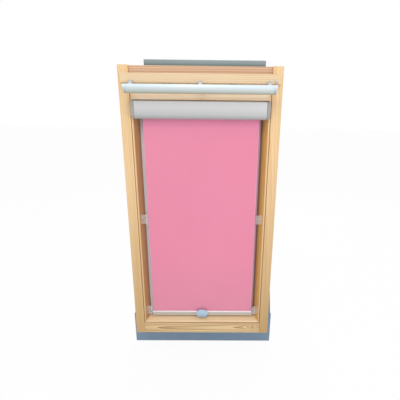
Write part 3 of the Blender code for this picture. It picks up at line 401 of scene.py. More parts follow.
class Graph:
    """A material's node tree, with a short method for each kind of node that the finishes use."""

    def __init__(self, name: str) -> None:
        """Starts a material with a Principled shader.

        Args:
            name: Name of the material.
        """
        self.material = bpy.data.materials.new(name)
        self.material.use_nodes = True
        self.tree = self.material.node_tree
        self.shader = self.tree.nodes["Principled BSDF"]
        self.place = self.node("TexCoord", {}, "Object")

    def feed(self, socket: Socket, value: object) -> None:
        """Links a socket to another one, or sets it to a constant.

        Args:
            socket: The socket that takes the value.
            value: An output socket, a number, a vector or a colour.
        """
        if isinstance(value, Socket):
            self.tree.links.new(value, socket)
        elif socket.type == "RGBA":
            socket.default_value = (*value, 1.0)
        else:
            socket.default_value = value

    def node(self, kind: str, given: Dict[object, object], out: object = 0,
             **settings: object) -> Socket:
        """Makes a node and feeds it.

        Args:
            kind: Its type, without the word ShaderNode in front.
            given: What each input takes, by the input's name or number.
            out: Name or number of the output that is wanted.
            **settings: The node's properties.

        Returns:
            The output.
        """
        made = self.tree.nodes.new("ShaderNode" + kind)
        for key, value in settings.items():
            setattr(made, key, value)
        for key, value in given.items():
            self.feed(made.inputs[key], value)
        return made.outputs[out]

    def mapped(self, source: object, scale: Point, turn: Point = (0, 0, 0),
               shift: Point = (0, 0, 0)) -> Socket:
        """Coordinates scaled, then turned by degrees, then shifted.

        Args:
            source: The coordinates.
            scale: Factor along each axis.
            turn: Degrees about each axis.
            shift: Distance along each axis.

        Returns:
            The new coordinates.
        """
        turn = tuple(math.radians(t) for t in turn)
        given = {"Vector": source, "Scale": scale, "Rotation": turn, "Location": shift}
        return self.node("Mapping", given)

    def noise(self, source: object, fine: object, detail: float = 2.0, rough: float = 0.5,
              colour: bool = False) -> Socket:
        """Soft noise.

        Args:
            source: Coordinates that it lies on.
            fine: How fine it is, in waves to the metre, as one number or one for each axis.
            detail: How many finer layers it has.
            rough: How strong the finer layers are.
            colour: Whether it has three values instead of one.

        Returns:
            The noise.
        """
        if isinstance(fine, tuple):
            source, fine = self.mapped(source, fine), 1.0
        given = {"Vector": source, "Scale": fine, "Detail": detail, "Roughness": rough}
        return self.node("TexNoise", given, 1 if colour else 0)

    def sum(self, first: object, second: object = 0.0, operation: str = "ADD") -> Socket:
        """Arithmetic on two values, or on one where the operation takes one."""
        return self.node("Math", {0: first, 1: second}, operation=operation)

    def vectors(self, first: object, second: object, operation: str) -> Socket:
        """Arithmetic on two vectors, which gives a vector, or a number for DISTANCE."""
        out = "Value" if operation == "DISTANCE" else "Vector"
        return self.node("VectorMath", {0: first, 1: second}, out, operation=operation)

    def spread(self, value: object, *ends: float) -> Socket:
        """A value carried from one range to another, each given by its two ends, and held there."""
        return self.node("MapRange", dict(enumerate((value, *ends))))

    def along(self, run: Run, *ends: float) -> Socket:
        """A value spread by the object's place along an axis."""
        return self.spread(self.node("SeparateXYZ", {0: self.place}, run.value), *ends)

    def mixed(self, share: object, first: object, second: object) -> Socket:
        """Two colours mixed by the share of the second."""
        return self.node("Mix", {0: share, 6: first, 7: second}, 2, data_type="RGBA")

    def lower(self, colour: object, painted_shade: Optional[PaintedShade]) -> object:
        """A colour that passes into a painted shade further down.

        Args:
            colour: The colour.
            painted_shade: Two heights, and the colour of the painted shade at and under the lower
                one, or None for no change.

        Returns:
            The colour with the change.
        """
        if painted_shade is None:
            return colour
        low, high, under = painted_shade
        # painted shade: full under the lower height, gone over the higher one
        return self.mixed(self.along(Run.Z, low, high, 1.0, 0.0), colour, under)

    def relief(self, height: object, metres: float, strength: float) -> Socket:
        """A bump, given the metres of a height of one and the share of the bump that shows."""
        return self.node("Bump", {"Height": height, "Distance": metres, "Strength": strength})

    def set(self, **values: object) -> bpy.types.Material:
        """Sets or links the shader's sockets.

        Args:
            **values: What each socket takes, with _ for a space in its name.

        Returns:
            The material.
        """
        for name, value in values.items():
            self.feed(self.shader.inputs[name.replace("_", " ")], value)
        return self.material


def wave_scale(pitch: float) -> float:
    """Scale of a wave texture, which draws 20 / (2 pi) waves to the metre at a scale of one."""
    return 2 * math.pi / 20 / pitch


@dataclass(frozen=True)
class Pine:
    """Lacquered pine, sawn from its own place in a log.

    The growth rings are a saw wave of the distance from the log's middle, which runs nearly along
    the board, so that a small lean draws pointed arches on the faces. The ring turns pale at once
    after its dark late wood, as in softwood. Round a knot, at a distance r, the rings are pushed
    aside by 14 and 22 mm times e^(-38 r).

    Attributes:
        name: Name of the material.
        grain: Axis that the board's grain follows.
        heart: Place of the log's middle beside the board, in metres across the grain.
        lean: Lean of the log's middle against the board, in degrees.
        ring: Mean ring width in metres.
        pale: Colour of early wood.
        dark: Colour of late wood.
        knot: Place of a knot on the board, or None.
        inner: Colour of the painted shade on the splayed reveal, or None.
        foot: Share of painted shade, a darker yellower colour, that a board has at its foot.
        painted_shade_top: Height where that painted shade has faded out.
        contrast: Share of the late wood's colour in the rings.
    """

    name: str
    grain: Run
    heart: Tuple[float, float]
    lean: Tuple[float, float]
    ring: float = 0.0048
    pale: Colour = tone(240, 206, 156)
    dark: Colour = tone(216, 163, 98)
    knot: Optional[Point] = None
    inner: Optional[Colour] = None
    foot: float = 0.0
    painted_shade_top: float = 0.92
    contrast: float = 0.62

    def material(self) -> bpy.types.Material:
        """The board's material, on object coordinates.

        Returns:
            The material.
        """
        g = Graph(self.name)
        turn = (0.0, 0.0, 0.0) if self.grain is Run.Z else (0.0, 90.0, 0.0)
        straight = g.mapped(g.place, (1, 1, 1), turn)
        log = g.mapped(straight, (1, 1, 1), (*self.lean, 0.0), (*self.heart, 0.0))
        wander = g.noise(straight, (9.0, 9.0, 1.6), colour=True)
        wander = g.vectors(wander, (0.5, 0.5, 0.5), "SUBTRACT")
        log = g.vectors(log, g.vectors(wander, (0.011, 0.011, 0.0), "MULTIPLY"), "ADD")
        if self.knot is not None:
            away = g.vectors(g.place, self.knot, "DISTANCE")
            swell = g.sum(math.e, g.sum(away, -38.0, "MULTIPLY"), "POWER")
            shoves = [g.sum(swell, shove, "MULTIPLY") for shove in (-0.014, -0.022)]
            log = g.vectors(log, g.node("CombineXYZ", dict(enumerate(shoves))), "ADD")
        rings = g.node("TexWave", {"Vector": log, "Scale": wave_scale(self.ring)}, 1,
                       wave_type="RINGS", rings_direction="Z", wave_profile="SAW")
        late = g.spread(rings, 0.42, 0.97, 0.0, 1.0)
        fibre = g.noise(straight, (760.0, 760.0, 9.0), detail=3.0, rough=0.6)
        streak = g.noise(straight, (62.0, 62.0, 0.9))
        cloud = g.noise(straight, (6.0, 6.0, 1.3), detail=1.0)
        wood = g.mixed(g.sum(late, self.contrast, "MULTIPLY"), self.pale, self.dark)
        wood = g.mixed(g.spread(streak, 0.42, 0.78, 0.0, 0.45), wood, self.dark)
        wood = g.mixed(g.spread(cloud, 0.3, 0.7, 0.0, 0.22), wood, tone(252, 228, 184))
        wood = g.mixed(g.spread(fibre, 0.35, 0.8, 0.0, 0.16), wood, tone(176, 118, 62))
        if self.knot is not None:
            eye = g.spread(away, 0.002, 0.009, 0.5, 0.0)
            wood = g.mixed(eye, wood, tone(150, 92, 48))
        # painted shade: darker and yellower towards the foot of the board
        if self.foot:
            share = g.along(Run.Z, 0.0, self.painted_shade_top, self.foot, 0.0)
            wood = g.mixed(share, wood, tone(178, 142, 86))
        # painted shade: the splayed reveal takes the inner colour
        if self.inner is not None:
            wood = g.mixed(g.along(Run.Y, *REVEAL_FRONT, 0.0, 0.85), wood, self.inner)
        return g.set(
            Base_Color=wood, Roughness=g.spread(fibre, 0.2, 0.8, 0.40, 0.52),
            Normal=g.relief(g.sum(fibre, g.sum(late, 0.5, "MULTIPLY")), 0.00018, 0.5),
            Coat_Weight=0.22, Coat_Roughness=0.28,
        )


@dataclass(frozen=True)
class Coloured:
    """What the finishes of metal and plastic share.

    Attributes:
        name: Name of the material.
        colour: Its colour.
        painted_shade: Two heights, and the colour of a painted shade at the lower one, or None
            where it is even.
    """

    name: str
    colour: Colour
    painted_shade: Optional[PaintedShade] = None

    def darker(self, share: float) -> Colour:
        """The colour times a share."""
        return tuple(share * c for c in self.colour)


@dataclass(frozen=True)
class Lacquered(Coloured):
    """Sheet or profile aluminium under a satin lacquer: orange-peel relief and a film of dust.

    Attributes:
        rough: Roughness of the clean lacquer.
        dust: Share of dust that settles in soft clouds.
        metal: How metallic the lacquer is.
    """

    rough: float = 0.38
    dust: float = 0.18
    metal: float = 0.25

    def material(self) -> bpy.types.Material:
        """The lacquer, on object coordinates.

        Returns:
            The material.
        """
        g = Graph(self.name)
        cloud = g.noise(g.place, (14.0, 14.0, 4.0), detail=5.0, rough=0.62)
        runs = g.noise(g.place, (120.0, 30.0, 3.0), detail=3.0)
        streaks = g.spread(runs, 0.5, 0.8, 0.0, self.dust / 2)
        share = g.sum(g.spread(cloud, 0.45, 0.75, 0.0, self.dust), streaks)
        lighter = tuple(0.62 * c + 0.38 * 0.55 for c in self.colour)
        peel = g.noise(g.place, 900.0, detail=1.0)
        rough = g.sum(g.spread(cloud, 0.3, 0.7, 0.0, 0.14), self.rough)
        # painted shade towards the foot, where one is given
        colour = g.lower(g.mixed(share, self.colour, lighter), self.painted_shade)
        return g.set(
            Base_Color=colour, Metallic=self.metal, Roughness=rough,
            Normal=g.relief(peel, 0.00008, 0.35),
        )


@dataclass(frozen=True)
class Anodised(Coloured):
    """Extruded aluminium, anodised: fine drawing lines along the run and a satin gloss.

    Attributes:
        rough: Mean roughness.
        metal: How metallic it is.
    """

    rough: float = 0.30
    metal: float = 0.9

    def material(self) -> bpy.types.Material:
        """The metal, on object coordinates, with its lines along X.

        Returns:
            The material.
        """
        g = Graph(self.name)
        lines = g.noise(g.place, (6.0, 2600.0, 2600.0))
        cloud = g.noise(g.place, (9.0, 60.0, 60.0), detail=3.0)
        colour = g.mixed(g.spread(lines, 0.3, 0.75, 0.0, 0.5), self.colour, self.darker(0.86))
        satin = g.spread(cloud, 0.3, 0.7, self.rough, self.rough + 0.06)
        # painted shade towards the foot, where one is given
        return g.set(
            Base_Color=g.lower(colour, self.painted_shade), Metallic=self.metal,
            Roughness=g.sum(g.spread(lines, 0.3, 0.7, -0.04, 0.05), satin),
            Normal=g.relief(lines, 0.00003, 0.4),
        )


@dataclass(frozen=True)
class Moulded(Coloured):
    """Injection-moulded plastic with a fine spark-eroded grain.

    Attributes:
        rough: Roughness.
        glow: Share of light that spreads under the surface.
        cover: Share of what lies behind that the plastic hides, 1 where it hides all.
    """

    rough: float = 0.42
    glow: float = 0.0
    cover: float = 1.0

    def material(self) -> bpy.types.Material:
        """The plastic, on object coordinates.

        Returns:
            The material.
        """
        g = Graph(self.name)
        grain = g.noise(g.place, 2400.0)
        cloud = g.noise(g.place, 45.0, detail=3.0)
        rough = g.sum(g.spread(cloud, 0.3, 0.7, -0.05, 0.07), self.rough)
        g.set(Subsurface_Weight=self.glow, Subsurface_Scale=0.004)
        if self.cover < 1:
            g.set(Alpha=g.spread(cloud, 0.3, 0.7, self.cover - 0.06, self.cover + 0.06))
        colour = g.mixed(g.spread(cloud, 0.35, 0.75, 0.0, 0.6), self.colour, self.darker(0.88))
        # painted shade towards the foot, where one is given
        return g.set(
            Base_Color=g.lower(colour, self.painted_shade), Roughness=rough,
            Normal=g.relief(grain, 0.00004, 0.35),
        )


@dataclass(frozen=True)
class Rubber:
    """Extruded sealing rubber with faint lines along its length and a pale bloom.

    Attributes:
        name: Name of the material.
        colour: Colour of the rubber.
        right: Painted light towards the right of the window, a pink cast from the cloth, and the
            painted shadow that it has behind the reveal there, or None where it is even.
    """

    name: str
    colour: Colour
    right: Optional[Tuple[Colour, Colour]] = None

    def material(self) -> bpy.types.Material:
        """The rubber, on object coordinates.

        Returns:
            The material.
        """
        g = Graph(self.name)
        lines = g.noise(g.place, (1500.0, 1500.0, 8.0))
        bloom = g.noise(g.place, (30.0, 30.0, 6.0), detail=4.0)
        paler = tuple(0.75 * c + 0.12 for c in self.colour)
        colour = g.mixed(g.spread(bloom, 0.4, 0.75, 0.0, 0.5), self.colour, paler)
        # painted light: a pink cast towards the right, and a painted shadow behind the right reveal
        if self.right is not None:
            near, outer = self.right
            colour = g.mixed(g.along(Run.X, *BLIND_SPAN, 0.0, 1.0), colour, near)
            colour = g.mixed(g.along(Run.X, *BEHIND_REVEAL, 0.0, 1.0), colour, outer)
        return g.set(
            Base_Color=colour, Roughness=g.spread(bloom, 0.3, 0.7, 0.58, 0.72),
            Normal=g.relief(lines, 0.00008, 0.5),
        )


@dataclass(frozen=True)
class Zinc:
    """Zinc-plated steel: a bright mottled plating with short scratches."""

    name: str = "zinc_plated_steel"

    def material(self) -> bpy.types.Material:
        """The plating, on object coordinates.

        Returns:
            The material.
        """
        g = Graph(self.name)
        spangle = g.node("TexVoronoi", {"Vector": g.place, "Scale": 420.0})
        mottle = g.noise(g.place, 120.0, detail=4.0)
        leaning = g.mapped(g.place, (300.0, 300.0, 2600.0), (20.0, 35.0, 0.0))
        scratch = g.noise(leaning, 1.0)
        grains = g.spread(spangle, 0.0, 0.7, 0.0, 0.2)
        share = g.sum(g.spread(mottle, 0.35, 0.7, 0.0, 0.5), grains)
        return g.set(
            Base_Color=g.mixed(share, tone(208, 206, 198), tone(168, 168, 164)), Metallic=0.9,
            Roughness=g.spread(mottle, 0.3, 0.7, 0.26, 0.44),
            Normal=g.relief(scratch, 0.00004, 0.4),
        )


@dataclass(frozen=True)
class WindowGlass:
    """A pane with a faint green cast and a trace of dust on its face."""

    name: str = "window_glass"

    def material(self) -> bpy.types.Material:
        """The glass, on object coordinates.

        Returns:
            The material.
        """
        g = Graph(self.name)
        dust = g.noise(g.place, (22.0, 22.0, 9.0), detail=5.0, rough=0.65)
        share = g.spread(dust, 0.4, 0.8, 0.0, 0.6)
        return g.set(
            Base_Color=g.mixed(share, tone(244, 250, 248), tone(236, 244, 241)),
            Roughness=g.spread(dust, 0.4, 0.85, 0.0, 0.012), IOR=1.46, Transmission_Weight=1.0,
        )


@dataclass(frozen=True)
class BlackoutCloth:
    """Plain-woven blackout cloth on the piece's own UV map, which is in metres.

    Warp and weft are two sine waves at the thread pitch. Their higher one shows at each crossing,
    and slubs thicken single threads for a few centimetres. The side edges carry a painted
    highlight.

    Attributes:
        name: Name of the material.
        colour: Colour of the dyed yarn.
        half_width: Half the cloth's width, where the cut edges are.
        seam: Distance down the cloth of the hem's seam.
        pitch: Distance between threads.
    """

    name: str
    colour: Colour
    half_width: float
    seam: float
    pitch: float = 0.00062

    def material(self) -> bpy.types.Material:
        """The cloth's material.

        Returns:
            The material.
        """
        g = Graph(self.name)
        uv = g.node("UVMap", {}, uv_map="weave")
        given = {"Vector": uv, "Scale": wave_scale(self.pitch)}
        weave = g.sum(*(
            g.node("TexWave", given, 1, wave_type="BANDS", bands_direction=way, wave_profile="SIN")
            for way in ("X", "Y")
        ), "MAXIMUM")
        weft = g.noise(uv, (9.0, 900.0, 1.0))
        warp = g.noise(uv, (900.0, 6.0, 1.0))
        slub = g.sum(g.spread(weft, 0.45, 0.8, 0.0, 0.6), g.spread(warp, 0.45, 0.8, 0.0, 0.6))
        cloud = g.noise(uv, (3.0, 2.0, 1.0))
        deep = tuple(c * s for c, s in zip(self.colour, (0.86, 0.74, 0.78)))
        light = tuple(min(1.0, c * s) for c, s in zip(self.colour, (1.04, 1.16, 1.12)))
        colour = g.mixed(g.spread(slub, 0.0, 1.0, 0.0, 0.30), self.colour, deep)
        colour = g.mixed(g.spread(cloud, 0.35, 0.7, 0.0, 0.25), colour, light)
        colour = g.mixed(g.spread(weave, 0.2, 0.9, 0.16, 0.0), colour, deep)
        across, down = (g.node("SeparateXYZ", {0: uv}, run.value) for run in (Run.X, Run.Y))
        off_edge = g.sum(self.half_width, g.sum(across, operation="ABSOLUTE"), "SUBTRACT")
        # painted highlight along the side edges
        colour = g.mixed(g.spread(off_edge, 0.0004, 0.0042, 0.7, 0.0), colour, tone(226, 190, 222))
        # painted shade: darker over the lower length, down to the hem's seam
        low = g.spread(down, 0.70 * self.seam, self.seam, 0.0, 0.35)
        colour = g.mixed(low, colour, tone(206, 144, 158))
        # painted light: paler near the top, lifting the cassette's shadow
        colour = g.mixed(g.spread(down, 0.045, 0.105, 0.85, 0.0), colour, tone(252, 157, 191))
        off_seam = g.sum(g.sum(down, self.seam, "SUBTRACT"), operation="ABSOLUTE")
        stitched = g.spread(off_seam, 0.0003, 0.0011, 1.0, 0.0)
        colour = g.mixed(g.sum(stitched, 0.7, "MULTIPLY"), colour, tone(196, 92, 118))
        threads = g.sum(weave, g.sum(slub, 0.6, "MULTIPLY"))
        height = g.sum(threads, g.sum(stitched, 2.0, "MULTIPLY"), "SUBTRACT")
        return g.set(
            Base_Color=colour, Roughness=0.82, Sheen_Weight=0.25, Sheen_Roughness=0.45,
            Specular_IOR_Level=0.25, Normal=g.relief(height, 0.00012, 0.55),
        )


@dataclass(frozen=True)
class Finishes:
    """Every finish of the window that more than one sub-assembly uses."""

    outside: bpy.types.Material
    hood: bpy.types.Material
    anodised: bpy.types.Material
    bar: bpy.types.Material
    bar_end: bpy.types.Material
    cast: bpy.types.Material
    rail: bpy.types.Material
    case: bpy.types.Material
    case_end: bpy.types.Material
    grey_plastic: bpy.types.Material
    dark_plastic: bpy.types.Material
    clear_plastic: bpy.types.Material
    blue_plastic: bpy.types.Material
    rubber: bpy.types.Material
    seal: bpy.types.Material
    zinc: bpy.types.Material
    glass: bpy.types.Material

    @classmethod
    def mixed_up(cls) -> "Finishes":
        """Makes the shared materials.

        Returns:
            All of them.
        """

        def painted_shade_over_foot(node: str, low: float, high: float, colour: Colour) -> PaintedShade:
            """A painted shade between two heights over a node's foot."""
            foot = node_box(node)[0][2]
            return foot + low, foot + high, colour

        rail_top = node_box("bottom_bar")[1][2]
        made = dict(
            outside=Lacquered("outside_lacquer", tone(120, 144, 168)),
            # painted shade: the hood darkens towards its lower edge
            hood=Lacquered("hood_lacquer", tone(142, 156, 160),
                           painted_shade=painted_shade_over_foot("vent_hood", 0.066, 0.078, tone(112, 128, 124))),
            anodised=Anodised("anodised_silver", tone(232, 236, 238), rough=0.36, metal=0.7),
            # painted shade: the bar and its ends darken towards their lower side
            bar=Anodised("satin_bar", tone(222, 236, 244), rough=0.45, metal=0.25,
                         painted_shade=painted_shade_over_foot("control_bar", 0.003, 0.030, tone(176, 178, 166))),
            bar_end=Anodised("satin_bar_end", tone(216, 228, 234), rough=0.45, metal=0.25,
                             painted_shade=painted_shade_over_foot("control_bar", 0.003, 0.030, tone(160, 168, 166))),
            cast=Anodised("cast_grey", tone(190, 188, 190), rough=0.45, metal=0.4),
            # painted shade: the rail darkens a little under its top
            rail=Anodised("satin_rail", tone(244, 240, 244), rough=0.40, metal=0.35,
                          painted_shade=(rail_top - 0.009, rail_top - 0.004, tone(190, 182, 170))),
            # painted shade: the cassette darkens towards its rounded foot
            case=Lacquered("cassette_lacquer", tone(208, 208, 209), rough=0.34, dust=0.08,
                           metal=0.15,
                           painted_shade=painted_shade_over_foot("cassette_cover", 0.008, 0.050, tone(178, 180, 181))),
            case_end=Moulded("cassette_end_plastic", tone(168, 162, 156)),
            grey_plastic=Moulded("grey_plastic", tone(196, 198, 200)),
            dark_plastic=Moulded("dark_plastic", tone(96, 98, 104)),
            clear_plastic=Moulded("clear_plastic", tone(250, 248, 246), rough=0.12, cover=0.17),
            # painted shade: the grip darkens towards its lower edge
            blue_plastic=Moulded("pale_blue_plastic", tone(180, 206, 226), rough=0.26, glow=0.15,
                                 painted_shade=painted_shade_over_foot("pull_handle", 0.004, 0.026, tone(134, 160, 184))),
            # painted light on the gasket: pink towards the right, with a painted shadow behind the
            # right reveal
            rubber=Rubber("gasket_rubber", tone(222, 222, 224),
                          right=(tone(228, 178, 198), tone(128, 108, 98))),
            seal=Rubber("seal_rubber", tone(92, 92, 94)),
            zinc=Zinc(),
            glass=WindowGlass(),
        )
        return cls(**{key: finish.material() for key, finish in made.items()})


# Pieces


def in_scene(name: str, data: bpy.types.ID) -> bpy.types.Object:
    """A new object of a mesh, lamp or camera, linked to the scene.

    Args:
        name: Name of the object.
        data: What it shows.

    Returns:
        The object.
    """
    made = bpy.data.objects.new(name, data)
    bpy.context.scene.collection.objects.link(made)
    return made


def piece(name: str, shell: Shell, material: bpy.types.Material, body: str,
          stands_for: Sequence[str] = (), crease: float = CREASE) -> None:
    """Makes an object of a surface, dresses it and lets it ride on a body.

    Args:
        name: Name of the piece.
        shell: Its surface.
        material: Its finish.
        body: The body that it rides on.
        stands_for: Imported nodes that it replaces.
        crease: Angle in degrees past which an edge stays sharp.
    """
    mesh = bpy.data.meshes.new(name)
    mesh.from_pydata(shell.points.tolist(), [], shell.faces)
    mesh.shade_smooth()
    mesh.set_sharp_from_angle(angle=math.radians(crease))
    mesh.materials.append(material)
    made = in_scene(name, mesh)
    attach(made, body)
    if stands_for:
        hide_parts(*stands_for)
    LOG.info("%s on %s, %d points", name, body, len(shell.points))


def dress(material: bpy.types.Material, *names: str) -> None:
    """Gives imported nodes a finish.

    Args:
        material: The finish.
        names: The nodes.
    """
    for name in names:
        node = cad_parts[name]
        if node.material_slots:
            node.material_slots[0].material = material
        else:
            node.data.materials.append(material)
        LOG.info("%s is %s", name, material.name)


@dataclass
class Timber:
    """The boards of the frame, sash and ventilation flap, each from its own place in a log."""

    def boards(self) -> Dict[str, Pine]:
        """The finish of each board, by its node.

        Returns:
            Each board's node with its finish.
        """
        return {
            # painted shade towards the foot
            "frame_jamb_left": Pine(
                "pine_jamb_left", Run.Z, heart=(0.41, 0.11), lean=(0.5, 0.7), ring=0.0062,
                foot=0.71, contrast=0.45),
            # painted light: paler than the left jamb; painted shade towards the foot
            "frame_jamb_right": Pine(
                "pine_jamb_right", Run.Z, heart=(-0.33, 0.13), lean=(-0.6, 0.9), ring=0.0058,
                pale=tone(244, 210, 162), foot=0.86, painted_shade_top=0.98, contrast=0.45),
            # painted shade: a darker, redder copy of the pine for the recessed head
            "frame_head": Pine(
                "pine_head", Run.X, heart=(-1.30, 0.09), lean=(0.6, 0.5), ring=0.0085,
                pale=tone(220, 180, 150), dark=tone(176, 124, 90), contrast=0.9),
            "frame_sill": Pine(
                "pine_sill", Run.X, heart=(-0.034, 0.075), lean=(-1.2, 0.6), ring=0.0072,
                pale=tone(222, 192, 140), dark=tone(142, 98, 46), knot=(0.284, -0.049, 0.036),
                contrast=1.0),
            # painted shade: dark brown on the reveal, and towards the foot
            "sash_stile_left": Pine(
                "pine_stile_left", Run.Z, heart=(0.36, 0.06), lean=(0.7, -0.5), ring=0.0052,
                inner=tone(178, 116, 72), foot=0.45, contrast=0.5),
            # painted shade: golden on the reveal, lighter than the left one, and towards the foot
            "sash_stile_right": Pine(
                "pine_stile_right", Run.Z, heart=(-0.25, 0.07), lean=(0.4, 0.8), ring=0.0050,
                inner=tone(222, 164, 76), foot=0.6, contrast=0.5),
            # painted light: paler than the other boards, lifting the bar's shadow
            "sash_top_rail": Pine(
                "pine_top_rail", Run.X, heart=(-1.24, 0.10), lean=(-0.7, 0.4), ring=0.0090,
                pale=tone(255, 236, 208), dark=tone(250, 206, 160)),
            # painted light: paler, lifting the shade on the sloped ledge
            "sash_bottom_rail": Pine(
                "pine_bottom_rail", Run.X, heart=(-0.10, 0.09), lean=(0.8, -0.4), ring=0.0056,
                pale=tone(248, 220, 182), dark=tone(214, 168, 112)),
            "vent_flap": Pine(
                "pine_flap", Run.X, heart=(-1.38, 0.10), lean=(0.5, 0.6), ring=0.0066,
                pale=tone(238, 214, 178), dark=tone(222, 182, 132)),
        }

    def build(self) -> None:
        """Dresses every board."""
        for node, finish in self.boards().items():
            dress(finish.material(), node)


@dataclass
class Outside:
    """Aluminium covers, the hood, the apron, and the screws that hold them.

    Attributes:
        hood_round: Radius of the hood's upper outer edge.
        edge: Radius of the hood's end edges.
        lip: Depth of the lip along the hood's lower edge.
        screw_step: Distance between the cover screws.
        screw_in: Distance of a jamb cover's screws from its inner edge.
        sunk: How far a screw head is sunk into its cover.
    """

    finishes: Finishes
    hood_round: float = 0.010
    edge: float = 0.0014
    lip: float = 0.0022
    screw_step: float = 0.290
    screw_in: float = 0.020
    sunk: float = 0.0001

    def hood(self) -> None:
        """The hood over the ventilation slot, with a lip along its lower edge."""
        low, high = node_box("vent_hood")
        rear, foot, front, top = low[1], low[2], high[1], high[2]
        lip, corner = self.lip, self.hood_round
        outline = [
            (rear, foot), (front - lip, foot), (front - lip, foot + 2 * lip),
            (front, foot + 3 * lip), (front, top - corner),
            (front - 0.3 * corner, top - 0.3 * corner), (front - corner, top), (rear, top),
        ]
        shell = carried(eased(outline, 0.0028, 5), Run.X, low[0], high[0], self.edge, 3)
        piece("hood", shell, self.finishes.hood, "frame", ("vent_hood",))

    def screws(self) -> None:
        """Screw heads along the jamb covers and the sash covers."""
        heads = []
        for side_name, side in SIDES:
            node = f"jamb_cover_{side_name}"
            low, high = node_box(node)
            x = side * (span_beside(node, side)[0] + self.screw_in)
            for z in np.arange(low[2] + 0.09, high[2] - 0.05, self.screw_step):
                heads.append(screw_head((x, high[1] - self.sunk, float(z)), (0, 1, 0)))
        piece("cover_screws", joined(heads), self.finishes.zinc, "frame")
        heads = []
        for side_name, side in SIDES:
            low, high = node_box(f"sash_cover_{side_name}")
            for z in np.arange(low[2] + 0.08, high[2] - 0.05, self.screw_step):
                middle = ((low[0] + high[0]) / 2, high[1] - self.sunk, float(z))
                heads.append(screw_head(middle, (0, 1, 0), 0.0030))
        piece("sash_cover_screws", joined(heads), self.finishes.zinc, "sash")

    def build(self) -> None:
        """Dresses the covers and adds the hood and screws."""
        dress(self.finishes.outside, "jamb_cover_left", "jamb_cover_right", "head_cover",
              "sill_apron", "sash_cover_left", "sash_cover_right", "sash_cover_top",
              "sash_cover_bottom")
        dress(self.finishes.anodised, "glass_spacer")
        self.hood()
        self.screws()


@dataclass
class Ironwork:
    """Glass, seals, hinges and latch, with the screws in the sash's pivot plates."""

    finishes: Finishes

    def plate_screws(self) -> None:
        """Countersunk heads in the sash's pivot plates."""
        heads = []
        for side_name, side in SIDES:
            node = f"pivot_plate_sash_{side_name}"
            low, high = node_box(node)
            x = side * (span_beside(node, side)[1] - 0.0004)
            middle = (low[1] + high[1]) / 2
            for z in (low[2] + 0.012, low[2] + 0.032, high[2] - 0.032, high[2] - 0.012):
                heads.append(screw_head((x, middle, z), (side, 0, 0), 0.0030))
        piece("pivot_screws", joined(heads), self.finishes.zinc, "sash")

    def build(self) -> None:
        """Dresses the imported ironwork, glass and seals."""
        dress(self.finishes.glass, "glass_inner", "glass_outer")
        dress(self.finishes.rubber, "glazing_gasket")
        dress(self.finishes.seal, "jamb_seal_left", "jamb_seal_right")
        dress(self.finishes.zinc, "pivot_plate_frame_left", "pivot_plate_frame_right",
              "pivot_plate_sash_left", "pivot_plate_sash_right", "latch_case", "latch_tongue",
              "latch_strike", "flap_hinge_left", "flap_hinge_right")
        self.plate_screws()


